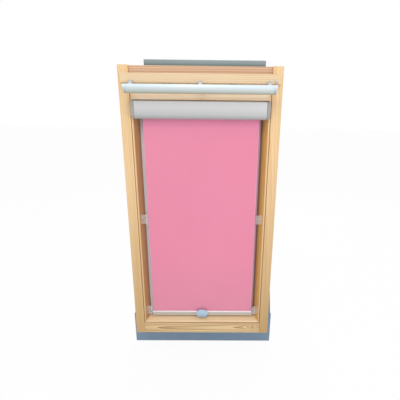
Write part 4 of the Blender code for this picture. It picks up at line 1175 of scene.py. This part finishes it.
@dataclass
class ControlBar:
    """The silver bar that works the flap, its slanted ends, three brackets and the stud.

    Attributes:
        slant: How much shorter the bar is at its lower edge, at each end.
        end_edge: Radius of an end piece's outer edge.
        seam: Radius of the edges where the end pieces meet the bar.
        groove: Depth of the two fine grooves along the bar.
        groove_off: Distance of each groove from the middle of the bar's front.
        groove_half: Half of a groove's width.
        power: How full the section is, 1 for an ellipse and less for squarer.
        points_round: Points around the section.
        bracket_round: Radius of a bracket's upper corners, seen from the room.
    """

    finishes: Finishes
    slant: float = 0.0085
    end_edge: float = 0.0022
    seam: float = 0.0003
    groove: float = 0.0004
    groove_off: float = 0.0105
    groove_half: float = 0.0006
    power: float = 0.72
    points_round: int = 72
    bracket_round: float = 0.0075

    def section(self) -> Array:
        """The bar's section in (y, z).

        A point at angle a is at the half sizes times |cos a|^p and |sin a|^p with their signs,
        drawn in by the groove depth in two narrow bands on the room side.

        Returns:
            The outline's points.
        """
        low, high = node_box("control_bar")
        middle, half = (low + high)[1:] / 2, (high - low)[1:] / 2
        angle = np.linspace(0, 2 * math.pi, self.points_round, endpoint=False)
        shape = np.stack(squarish(angle, self.power), axis=1)
        from_front = (angle - math.pi) * half[1]
        band = np.exp(-((np.abs(from_front) - self.groove_off) / self.groove_half) ** 2)
        return middle + shape * (half - band[:, None] * self.groove)

    def bar(self) -> None:
        """The middle length and the two end pieces, whose outer ends lean.

        An end piece's section at share s of its length lies at x = inner + s (outer - slant
        (top - z) / height - inner), and is drawn in by a quarter round at the outer end.
        """
        section = self.section()
        low, high = node_box("control_bar")
        shell = carried(section, Run.X, low[0], high[0], self.seam, 2)
        piece("grip_bar", shell, self.finishes.bar, "vent_flap",
              ("control_bar",))
        normals = outward_normals(section)
        top, height = high[2], high[2] - low[2]
        for side_name, side in SIDES:
            node = f"bar_end_{side_name}"
            inner, outer = span_beside(node, side)
            inside, round_in = quarter_round(self.end_edge, 4)
            share = np.concatenate([[0.0, 0.02, 0.5], 1 - inside / (outer - inner)])
            drawn = np.concatenate([[self.seam, 0.0, 0.0], round_in])
            flat = section[None] - normals[None] * drawn[:, None, None]
            reach = outer - self.slant * (top - flat[..., 1]) / height - inner
            along = side * (inner + share[:, None] * reach)
            shell = Shell.of_grid(in_space(flat, along, Run.X))
            piece(f"grip_bar_end_{side_name}", shell, self.finishes.bar_end, "vent_flap",
                  (node,))

    def brackets(self) -> None:
        """Cast arms from the flap's face to the back of the bar, each with a screw in its foot.

        The section in (y, z) is carried across the bracket's width. Near the top, x is then drawn
        to the middle by r - sqrt(r^2 - (r - d)^2), with r the corner's radius and d the depth
        under the top.
        """
        heads = []
        for name in ("left", "centre", "right"):
            node = f"bar_bracket_{name}"
            low, high = node_box(node)
            back, front, top, foot = high[1], low[1], high[2], low[2]
            outline = [
                (back, top - 0.0064), (back, top), (back - 0.007, top - 0.0002),
                (back - 0.016, top - 0.004), (front + 0.0035, top - 0.016), (front, foot + 0.013),
                (front, foot), (front + 0.0065, foot), (front + 0.0095, foot + 0.013),
                (back - 0.010, top - 0.0125),
            ]
            shell = carried(eased(outline, 0.003, 5), Run.X, low[0], high[0], 0.0022, 4)
            middle, half = (low[0] + high[0]) / 2, (high[0] - low[0]) / 2
            radius = self.bracket_round
            near = radius - np.clip(top - shell.points[:, 2], 0, radius)
            share = (half - radius + np.sqrt(radius**2 - near**2)) / half
            shell.points[:, 0] = middle + (shell.points[:, 0] - middle) * share
            piece(f"bracket_{name}", shell, self.finishes.cast, "vent_flap",
                  (node,))
            on_foot = (middle, back - 0.0115, top - 0.0024)
            heads.append(screw_head(on_foot, (0, -0.39, 0.92), 0.0026))
        piece("bracket_screws", joined(heads), self.finishes.zinc, "vent_flap")

    def stud(self) -> None:
        """The turned stud beside the right bracket: a collar, a waist and a domed head."""
        low, high = node_box("flap_stud")
        centre = ((low[0] + high[0]) / 2, high[1], (low[2] + high[2]) / 2)
        radius, length = (high[0] - low[0]) / 2, high[1] - low[1]
        profile = [(0.55, 0), (0.95, 0), (1.0, 0.06), (1.0, 0.18), (0.78, 0.28), (0.72, 0.45),
                   (0.88, 0.60), (1.0, 0.72), (0.97, 0.86), (0.75, 0.96), (0.30, 1.0)]
        shell = turned([(r * radius, h * length) for r, h in profile], centre, (0, -1, 0))
        piece("stud", shell, self.finishes.cast, "vent_flap", ("flap_stud",))

    def build(self) -> None:
        """Makes the bar with everything on it."""
        self.bar()
        self.brackets()
        self.stud()


@dataclass
class Cassette:
    """The blind's housing: the rounded front cover, its end caps, and the back.

    Attributes:
        wall: Thickness of the front cover.
        top_round: Radius of the upper front edge.
        low_round: Radius of the lower front edge.
        belly: How much fuller the face is in its middle.
        cap_edge: Radius of the end caps' outer edge.
        cap_foot: Radius of the end caps' lower outer corner, seen from the room.
        joint: Width and depth of the shadow groove between an end cap and the cover.
    """

    finishes: Finishes
    wall: float = 0.0014
    top_round: float = 0.0052
    low_round: float = 0.021
    belly: float = 0.0006
    cap_edge: float = 0.0030
    cap_foot: float = 0.0120
    joint: Tuple[float, float] = (0.0022, 0.0016)

    def path(self) -> Array:
        """Outer path of the front cover in (y, z).

        A flat top, a quarter round of points r (1 + cos a), r (1 - sin a) from the corner, a face
        that bellies out by a half sine, and a larger round that turns under.

        Returns:
            The path's points.
        """
        low, high = node_box("cassette_cover")
        rear, front, top, foot = high[1], low[1], high[2], low[2]
        upper = np.linspace(math.pi / 2, math.pi, 9)
        lower = np.linspace(math.pi, 1.46 * math.pi, 15)
        face_z = np.linspace(top - self.top_round, foot + self.low_round, 9)[1:-1]
        share = (face_z - foot - self.low_round) / (top - foot - self.top_round - self.low_round)
        edge = front + self.belly
        parts = [
            [(rear, top)],
            np.stack([edge + self.top_round * (1 + np.cos(upper)),
                      top - self.top_round * (1 - np.sin(upper))], axis=1),
            np.stack([front + self.belly * (1 - np.sin(share * math.pi)), face_z], axis=1),
            np.stack([edge + self.low_round * (1 + np.cos(lower)),
                      foot + self.low_round * (1 + np.sin(lower))], axis=1),
            [(rear, foot + 0.0004)],
        ]
        return np.concatenate([np.array(p, float).reshape(-1, 2) for p in parts])

    def build(self) -> None:
        """Makes the front cover and the end caps, and dresses the back.

        An end cap's outer end draws in near its foot by r - sqrt(r^2 - (r - h)^2), with r the
        corner's radius and h the height over the foot.
        """
        path = self.path()
        normals = outward_normals(path)
        low, high = node_box("cassette_cover")
        shell = carried(folded(path, self.wall), Run.X, low[0], high[0], 0.0006, 3)
        piece("cassette_front", shell, self.finishes.case, "sash",
              ("cassette_cover",), CASE_CREASE)
        for side_name, side in SIDES:
            node = f"cassette_cap_{side_name}"
            inner, outer = span_beside(node, side)
            length = outer - inner
            inside, round_in = quarter_round(self.cap_edge, 6)
            width, depth = self.joint
            share = np.concatenate([[0.0, width, 1.15 * width], length - inside]) / length
            drawn = np.concatenate([[depth, depth, 0.0], round_in])
            flat = path[None] - normals[None] * drawn[:, None, None]
            short = np.clip(self.cap_foot - (flat[..., 1] - path[:, 1].min()), 0, self.cap_foot)
            reach = length - self.cap_foot + np.sqrt(self.cap_foot**2 - short**2)
            shell = Shell.of_grid(in_space(flat, side * (inner + share[:, None] * reach), Run.X))
            piece(f"cassette_end_{side_name}", shell, self.finishes.case_end, "sash",
                  (node,), CASE_CREASE)
        dress(self.finishes.case, "cassette_back")
        dress(self.finishes.grey_plastic, "roller_bearing_left", "roller_bearing_right")


@dataclass
class Cloth:
    """The blackout cloth: the hanging length, and the turns that stay on the roller.

    Attributes:
        thick: Thickness of the cloth.
        bow: How far the middle of the hanging cloth stands towards the room.
        ripple: Height of the soft ripples along the two side edges.
        curl: How far the cut edges curl towards the room.
        turns: Turns of cloth on the roller at rest.
        travel: Travel of the bottom bar, over which the hanging cloth shortens. Not used.
        tuck: Length of cloth inside the bottom bar.
        hem: Height of the hem's seam over the bottom bar.
    """

    thick: float = 0.00045
    bow: float = 0.0012
    ripple: float = 0.0007
    curl: float = 0.0010
    turns: float = 2.6
    travel: float = 1.04
    tuck: float = 0.004
    hem: float = 0.0042

    def material(self) -> bpy.types.Material:
        """The dyed cloth.

        Returns:
            The material.
        """
        low, high = node_box("blind_cloth")
        half, drop = float(high[0] - low[0]) / 2, float(high[2] - low[2])
        cloth = BlackoutCloth("pink_blackout_cloth", tone(233, 142, 170), half, drop - self.hem)
        return cloth.material()

    def sheet_object(self, name: str, grid: Array, flat: Array,
                     material: bpy.types.Material) -> bpy.types.Object:
        """An open sheet with its flat coordinates as UVs and its thickness from Solidify.

        Args:
            name: Name of the piece.
            grid: Points by row and column.
            flat: Distance across and along the cloth for each point, in metres.
            material: The cloth's finish.

        Returns:
            The object.
        """
        shell = Shell.of_grid(grid, sheet=True)
        mesh = bpy.data.meshes.new(name)
        mesh.from_pydata(shell.points.tolist(), [], shell.faces)
        mesh.shade_smooth()
        corners = np.empty(len(mesh.loops), int)
        mesh.loops.foreach_get("vertex_index", corners)
        layer = mesh.uv_layers.new(name="weave")
        layer.data.foreach_set("uv", flat.reshape(-1, 2)[corners].ravel())
        mesh.materials.append(material)
        made = in_scene(name, mesh)
        wall = made.modifiers.new("thickness", "SOLIDIFY")
        wall.thickness = self.thick
        wall.offset = 0.0
        return made

    def hanging(self, material: bpy.types.Material) -> None:
        """The cloth between roller and bottom bar.

        With u across from -1 to 1 and v down from 0 to 1, a point stands towards the room by
        sin(pi v)^2 times the sum of bow cos(pi u / 2), ripple u^4 times the mean of two sine waves
        down the cloth that run from 0 to 1, and curl exp(-(1 - |u|) / 0.03). The square keeps the
        cloth off the roll, also where it is drawn up.

        Args:
            material: The cloth's finish.
        """
        low, high = node_box("blind_cloth")
        half, plane = (high[0] - low[0]) / 2, (low[1] + high[1]) / 2
        top, foot = high[2], low[2] - self.tuck
        length = top - foot
        edge = np.linspace(0.9, 1, 9)[1:]
        u = np.concatenate([-edge[::-1], np.linspace(-0.9, 0.9, 41), edge])
        v = np.linspace(0, 1, 181)
        across, down = np.meshgrid(u, v)
        held = np.sin(math.pi * down) ** 2
        slow = np.sin(2 * math.pi * (5.3 * down + 0.08 * across))
        quick = np.sin(2 * math.pi * 8.7 * down + 1.1)
        wavy = self.ripple * across**4 * (2 + slow + quick) / 4
        curled = self.curl * np.exp(-(1 - np.abs(across)) / 0.03)
        out = held * (self.bow * np.cos(math.pi * across / 2) + wavy + curled)
        grid = np.stack([across * half, plane - out, top - down * length], axis=-1)
        flat = np.stack([across * half, down * length], axis=-1)
        made = self.sheet_object("hanging_cloth", grid, flat, material)
        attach(made, "sash")
        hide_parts("blind_cloth")
        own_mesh(made)
        LOG.info("hanging_cloth on sash, %.3f x %.3f m", 2 * half, length)

    def wound(self, material: bpy.types.Material) -> None:
        """The turns on the roller, a spiral that ends against the back of the hanging cloth.

        At an angle a from the roller's outer side, upwards and over, the radius is the outer radius
        less the spiral's pitch times a / 2 pi.

        Args:
            material: The cloth's finish.
        """
        low, high = node_box("cloth_roll")
        tube_low, tube_high = node_box("roller_tube")
        cloth_low, cloth_high = node_box("blind_cloth")
        centre = (low + high) / 2
        outer = (cloth_low[1] + cloth_high[1]) / 2 - centre[1]
        outer -= math.copysign(1.1 * self.thick, outer)
        inner = (tube_high[2] - tube_low[2]) / 2 + self.thick
        pitch = (outer - inner) / self.turns
        angle = np.linspace(0, 2 * math.pi * self.turns, int(self.turns * 48))
        radius = outer - pitch * angle / (2 * math.pi)
        steps = np.hypot(np.diff(radius), radius[1:] * np.diff(angle))
        run = np.concatenate([[0.0], np.cumsum(steps)])
        x = np.linspace(low[0], high[0], 25)[None, :]
        y = (centre[1] + radius * np.cos(angle))[:, None]
        z = (centre[2] + radius * np.sin(angle))[:, None]
        grid = np.stack(np.broadcast_arrays(x, y, z), axis=-1)
        flat = np.stack(np.broadcast_arrays(x, -run[:, None]), axis=-1)
        made = self.sheet_object("wound_cloth", grid, flat, material)
        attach(made, "roller")
        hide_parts("cloth_roll")
        LOG.info("wound_cloth on roller, %.3f m long", run[-1])

    def build(self) -> None:
        """Makes both lengths of cloth."""
        material = self.material()
        self.hanging(material)
        self.wound(material)


@dataclass
class BottomBar:
    """The aluminium bar in the cloth's hem, its end caps with pins, and the oval grip.

    Attributes:
        bead: Height of the bead on top of the bar.
        channel: Depth of the channel under it.
        joint: Width and depth of the shadow line between the bar and an end cap.
        cap: Length of an end cap without its pin.
        pin: Radius of the pins.
        pin_root: How far in from a cap's outer end its pin begins.
    """

    finishes: Finishes
    bead: float = 0.0042
    channel: float = 0.0016
    joint: float = 0.0003
    cap: float = 0.0033
    pin: float = 0.0022
    pin_root: float = 0.0008

    def section(self) -> Array:
        """The bar's section in (y, z): a rounded bead, a groove under it, a shallow channel.

        Returns:
            The outline's points.
        """
        low, high = node_box("bottom_bar")
        front, back, foot, top = low[1], high[1], low[2], high[2]
        inner, under = front + self.channel, top - self.bead
        corners = [
            (back, foot), (back, top), (front + 0.0035, top), (front + 0.0012, top - 0.0006),
            (front, top - 0.0025), (front, under), (inner, under - 0.0012),
            (inner, foot + 0.0062), (front + 0.0004, foot + 0.0048), (front, foot + 0.003),
            (front + 0.0014, foot + 0.0006), (front + 0.004, foot),
        ]
        return eased(corners, 0.0009, 3)

    def build(self) -> None:
        """Makes the bar, its ends and the grip."""
        low, high = node_box("bottom_bar")
        section = self.section()
        shell = carried(section, Run.X, low[0], high[0], 0.0002, 2)
        piece("blind_bar_profile", shell, self.finishes.rail, "blind_bar",
              ("bottom_bar",))
        drawn = section - outward_normals(section) * self.joint
        for side_name, side in SIDES:
            node = f"bottom_bar_cap_{side_name}"
            start, end = sorted((side * (high[0] + self.joint), side * (high[0] + self.cap)))
            cap = carried(drawn, Run.X, start, end, 0.0007, 3)
            root = high[0] + self.cap - self.pin_root
            reach = span_beside(node, side)[1] - root
            profile = [(self.pin, 0), (self.pin, reach - 0.0012), (0.86 * self.pin, reach - 0.0004),
                       (0.4 * self.pin, reach)]
            centre = (side * root, (low[1] + high[1]) / 2, high[2] - PIN_DOWN)
            pin = turned(profile, centre, (side, 0, 0), 20)
            piece(f"blind_bar_end_{side_name}", cap + pin, self.finishes.dark_plastic, "blind_bar",
                  (node,))
        self.grip()

    def grip(self) -> None:
        """The oval grip.

        Rings of (share of the half sizes, depth from the bar) run from the back over a full edge
        to a dished face. Each is the superellipse |cos a|^0.9, |sin a|^0.9 of the half sizes.
        """
        low, high = node_box("pull_handle")
        middle, half, depth = (low + high) / 2, (high - low) / 2, high[1] - low[1]
        rings = np.array([
            (0.74, 0.0), (0.80, 0.02), (0.86, 0.22), (0.93, 0.42), (0.985, 0.58), (1.0, 0.70),
            (0.99, 0.82), (0.95, 0.93), (0.88, 0.99), (0.80, 1.0), (0.72, 0.97), (0.60, 0.90),
            (0.44, 0.84), (0.26, 0.80), (0.08, 0.79),
        ])
        share, out = rings[:, :1], high[1] - depth * rings[:, 1:]
        cos, sin = squarish(np.linspace(0, 2 * math.pi, 72, endpoint=False), 0.9)
        x, z = middle[0] + half[0] * share * cos, middle[2] + half[2] * share * sin
        grid = np.stack([x, np.broadcast_to(out, x.shape), z], axis=-1)
        piece("pull_grip", Shell.of_grid(grid), self.finishes.blue_plastic, "blind_bar",
              ("pull_handle",), GRIP_CREASE)


@dataclass
class Claws:
    """Milky clips on the reveals that keep the bottom bar's pins near the glass, with their screws.

    Attributes:
        ease: Radius of the section's corners.
        lean: How much nearer the middle a clip's back edge lies, along the splayed reveal.
        wall: Thickness at the back edge.
        shelf: Thickness of a lower clip's shelf.
        under_pin: How far the shelf's top is under the middle of the pin.
    """

    finishes: Finishes
    ease: float = 0.0013
    lean: float = 0.0091
    wall: float = 0.0012
    shelf: float = 0.0038
    under_pin: float = 0.0026

    def clip(self, node: str, side: float, lower: bool) -> Shell:
        """A clip's plate and finger, from its section in (x, y) carried up.

        Args:
            node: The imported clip.
            side: The side that it is on, -1 for the left and 1 for the right.
            lower: Whether it is a lower clip, which has a shelf under the pin.

        Returns:
            The closed surface.
        """
        low, high = node_box(node)
        front, back = low[1], high[1]
        tip, root = span_beside(node, side)
        wall = root - self.lean - self.wall
        outline = np.array([
            (root, front), (root - self.lean, back), (wall, back), (wall, front + 0.0060),
            (wall - 0.0016, front + 0.0046), (tip, front + 0.0036), (tip, front + 0.0008),
            (tip + 0.003, front + 0.0001),
        ])
        outline[:, 0] *= side
        shell = carried(eased(outline, self.ease, 4), Run.Z, low[2], high[2], 0.0010, 3)
        if lower:
            over = float(node_box("bottom_bar")[1][2]) - PIN_DOWN - self.under_pin
            under, near, far = over - self.shelf, front + 0.0034, back - 0.001
            start, end = sorted((side * (tip + 0.0005), side * (wall + 0.0006)))
            ledge = eased([(near, under), (near, over), (far, over), (far, under)], 0.0012, 3)
            shell = shell + carried(ledge, Run.X, start, end, 0.0005, 2)
        return shell

    def build(self) -> None:
        """Makes the four clips and their screws."""
        heads = []
        for side_name, side in SIDES:
            for level in ("mid", "bottom"):
                node = f"{level}_claw_{side_name}"
                low, high = node_box(node)
                shell = self.clip(node, side, level == "bottom")
                piece(f"clip_{level}_{side_name}", shell, self.finishes.clear_plastic, "sash",
                      (node,))
                x = side * (span_beside(node, side)[1] - self.lean - self.wall)
                for z in (low[2] + 0.0065, high[2] - 0.0065):
                    heads.append(screw_head((x, low[1] + 0.0145, z), (-side, -0.1, 0), 0.0024))
        piece("clip_screws", joined(heads), self.finishes.zinc, "sash")


@dataclass
class RollerParts:
    """The roller tube and its plugs."""

    finishes: Finishes

    def build(self) -> None:
        """Dresses the tube and plugs."""
        dress(self.finishes.anodised, "roller_tube")
        dress(self.finishes.grey_plastic, "spring_plug", "idler_plug")


# Studio


def seen_rays(tree: bpy.types.NodeTree) -> Socket:
    """One for the rays of the camera, of reflections and through glass, and nought for the rest.

    Args:
        tree: The node tree that it is for.

    Returns:
        The value.
    """
    rays = tree.nodes.new("ShaderNodeLightPath")
    seen = rays.outputs["Is Camera Ray"]
    for kind in ("Is Glossy Ray", "Is Transmission Ray"):
        either = tree.nodes.new("ShaderNodeMath")
        either.operation = "MAXIMUM"
        tree.links.new(seen, either.inputs[0])
        tree.links.new(rays.outputs[kind], either.inputs[1])
        seen = either.outputs[0]
    return seen


@dataclass
class Studio:
    """Pale floor, soft lamps, the room's even light and the camera.

    Attributes:
        eye: Place of the camera.
        pitch: Degrees that it looks down.
        yaw: Degrees that it looks to the right.
        roll: Degrees that it is rolled.
        lens: Focal length in millimetres on a 36 mm sensor.
        shift: Sideways shift of the frame, as the photo's cut-out was moved on its canvas.
        floor_half: Half the floor's side in metres.
        floor_white: Share of plain white in what the camera and reflections see of the floor.
        room_light: Strength of the even light.
        key: Power of the lamp above on the left, in watts.
        fill: Power of the lamp on the right.
        rim: Power of the lamp behind the window.
    """

    eye: Point = (0.0705, -1.4583, 1.1765)
    pitch: float = 15.59
    yaw: float = 0.54
    roll: float = 0.59
    lens: float = 26.44
    shift: float = -0.0456
    floor_half: float = 40.0
    floor_white: float = 0.94
    room_light: float = 0.80
    key: float = 42.0
    fill: float = 16.0
    rim: float = 26.0

    def camera(self) -> None:
        """Sets the camera from its place, pitch, yaw and roll."""
        down, side, roll = (math.radians(v) for v in (self.pitch, self.yaw, self.roll))
        level = math.cos(down)
        ahead = Vector((math.sin(side) * level, math.cos(side) * level, -math.sin(down)))
        right = Vector((math.cos(side), -math.sin(side), 0.0))
        up = right.cross(ahead)
        rolled = right * math.cos(roll) + up * math.sin(roll)
        upright = up * math.cos(roll) - right * math.sin(roll)
        data = bpy.data.cameras.new("camera")
        data.lens = self.lens
        data.sensor_width = 36.0
        data.shift_x = self.shift
        data.clip_start, data.clip_end = 0.05, 200.0
        camera = in_scene("camera", data)
        turn = Matrix((rolled, upright, -ahead)).transposed()
        camera.matrix_world = Matrix.Translation(self.eye) @ turn.to_4x4()
        bpy.context.scene.camera = camera

    def floor(self) -> None:
        """A wide pale floor under the apron. The camera and reflections see it nearly white."""
        low = CAD_BOX[0][2] - 0.001
        half = self.floor_half
        mesh = bpy.data.meshes.new("floor")
        corners = [(-half, -half, low), (half, -half, low), (half, half, low), (-half, half, low)]
        mesh.from_pydata(corners, [], [(0, 1, 2, 3)])
        g = Graph("pale_floor")
        g.set(Base_Color=tone(240, 240, 240), Roughness=0.9)
        glow = g.node("Emission", {"Color": (1.0, 1.0, 1.0), "Strength": 1.0})
        share = g.sum(seen_rays(g.tree), self.floor_white, "MULTIPLY")
        blend = g.node("MixShader", {0: share, 1: g.shader.outputs[0], 2: glow})
        g.feed(g.tree.nodes["Material Output"].inputs["Surface"], blend)
        mesh.materials.append(g.material)
        floor = in_scene("floor", mesh)

    def lamp(self, name: str, place: Point, size: float, watts: float) -> None:
        """A square lamp that faces the middle of the window.

        Args:
            name: Name of the lamp.
            place: Where it is.
            size: Length of its sides in metres.
            watts: Its power.
        """
        data = bpy.data.lights.new(name, "AREA")
        data.energy, data.size = watts, size
        lamp = in_scene(name, data)
        way = Vector((0.0, 0.0, 0.7)) - Vector(place)
        turn = way.to_track_quat("-Z", "Y").to_matrix()
        lamp.matrix_world = Matrix.Translation(place) @ turn.to_4x4()

    def build(self) -> None:
        """Sets the view transform, the even light, the lamps, the floor and the camera."""
        scene = bpy.context.scene
        scene.view_settings.view_transform = "Standard"
        world = bpy.data.worlds.new("even_light")
        scene.world = world
        world.use_nodes = True
        tree = world.node_tree
        background = tree.nodes["Background"]
        background.inputs["Color"].default_value = (1.0, 1.0, 1.0, 1.0)
        level = tree.nodes.new("ShaderNodeMapRange")
        level.inputs["To Min"].default_value = self.room_light
        level.inputs["To Max"].default_value = 1.0
        tree.links.new(seen_rays(tree), level.inputs["Value"])
        tree.links.new(level.outputs[0], background.inputs["Strength"])
        self.lamp("key_lamp", (-0.3, -2.5, 3.9), 1.8, self.key)
        self.lamp("fill_lamp", (2.6, -2.4, 1.1), 2.4, self.fill)
        self.lamp("back_lamp", (0.6, 3.0, 2.4), 2.4, self.rim)
        self.floor()
        self.camera()


def main() -> None:
    """Builds the window's sub-assemblies in order, then the studio."""
    logging.basicConfig(level=logging.INFO, format="%(name)s: %(message)s")
    finishes = Finishes.mixed_up()
    for part in (
        Timber(), Outside(finishes), Ironwork(finishes), ControlBar(finishes), Cassette(finishes),
        BottomBar(finishes), Claws(finishes), RollerParts(finishes), Cloth(), Studio(),
    ):
        part.build()
        LOG.info("%s done", type(part).__name__)


if __name__ == "__main__":
    main()
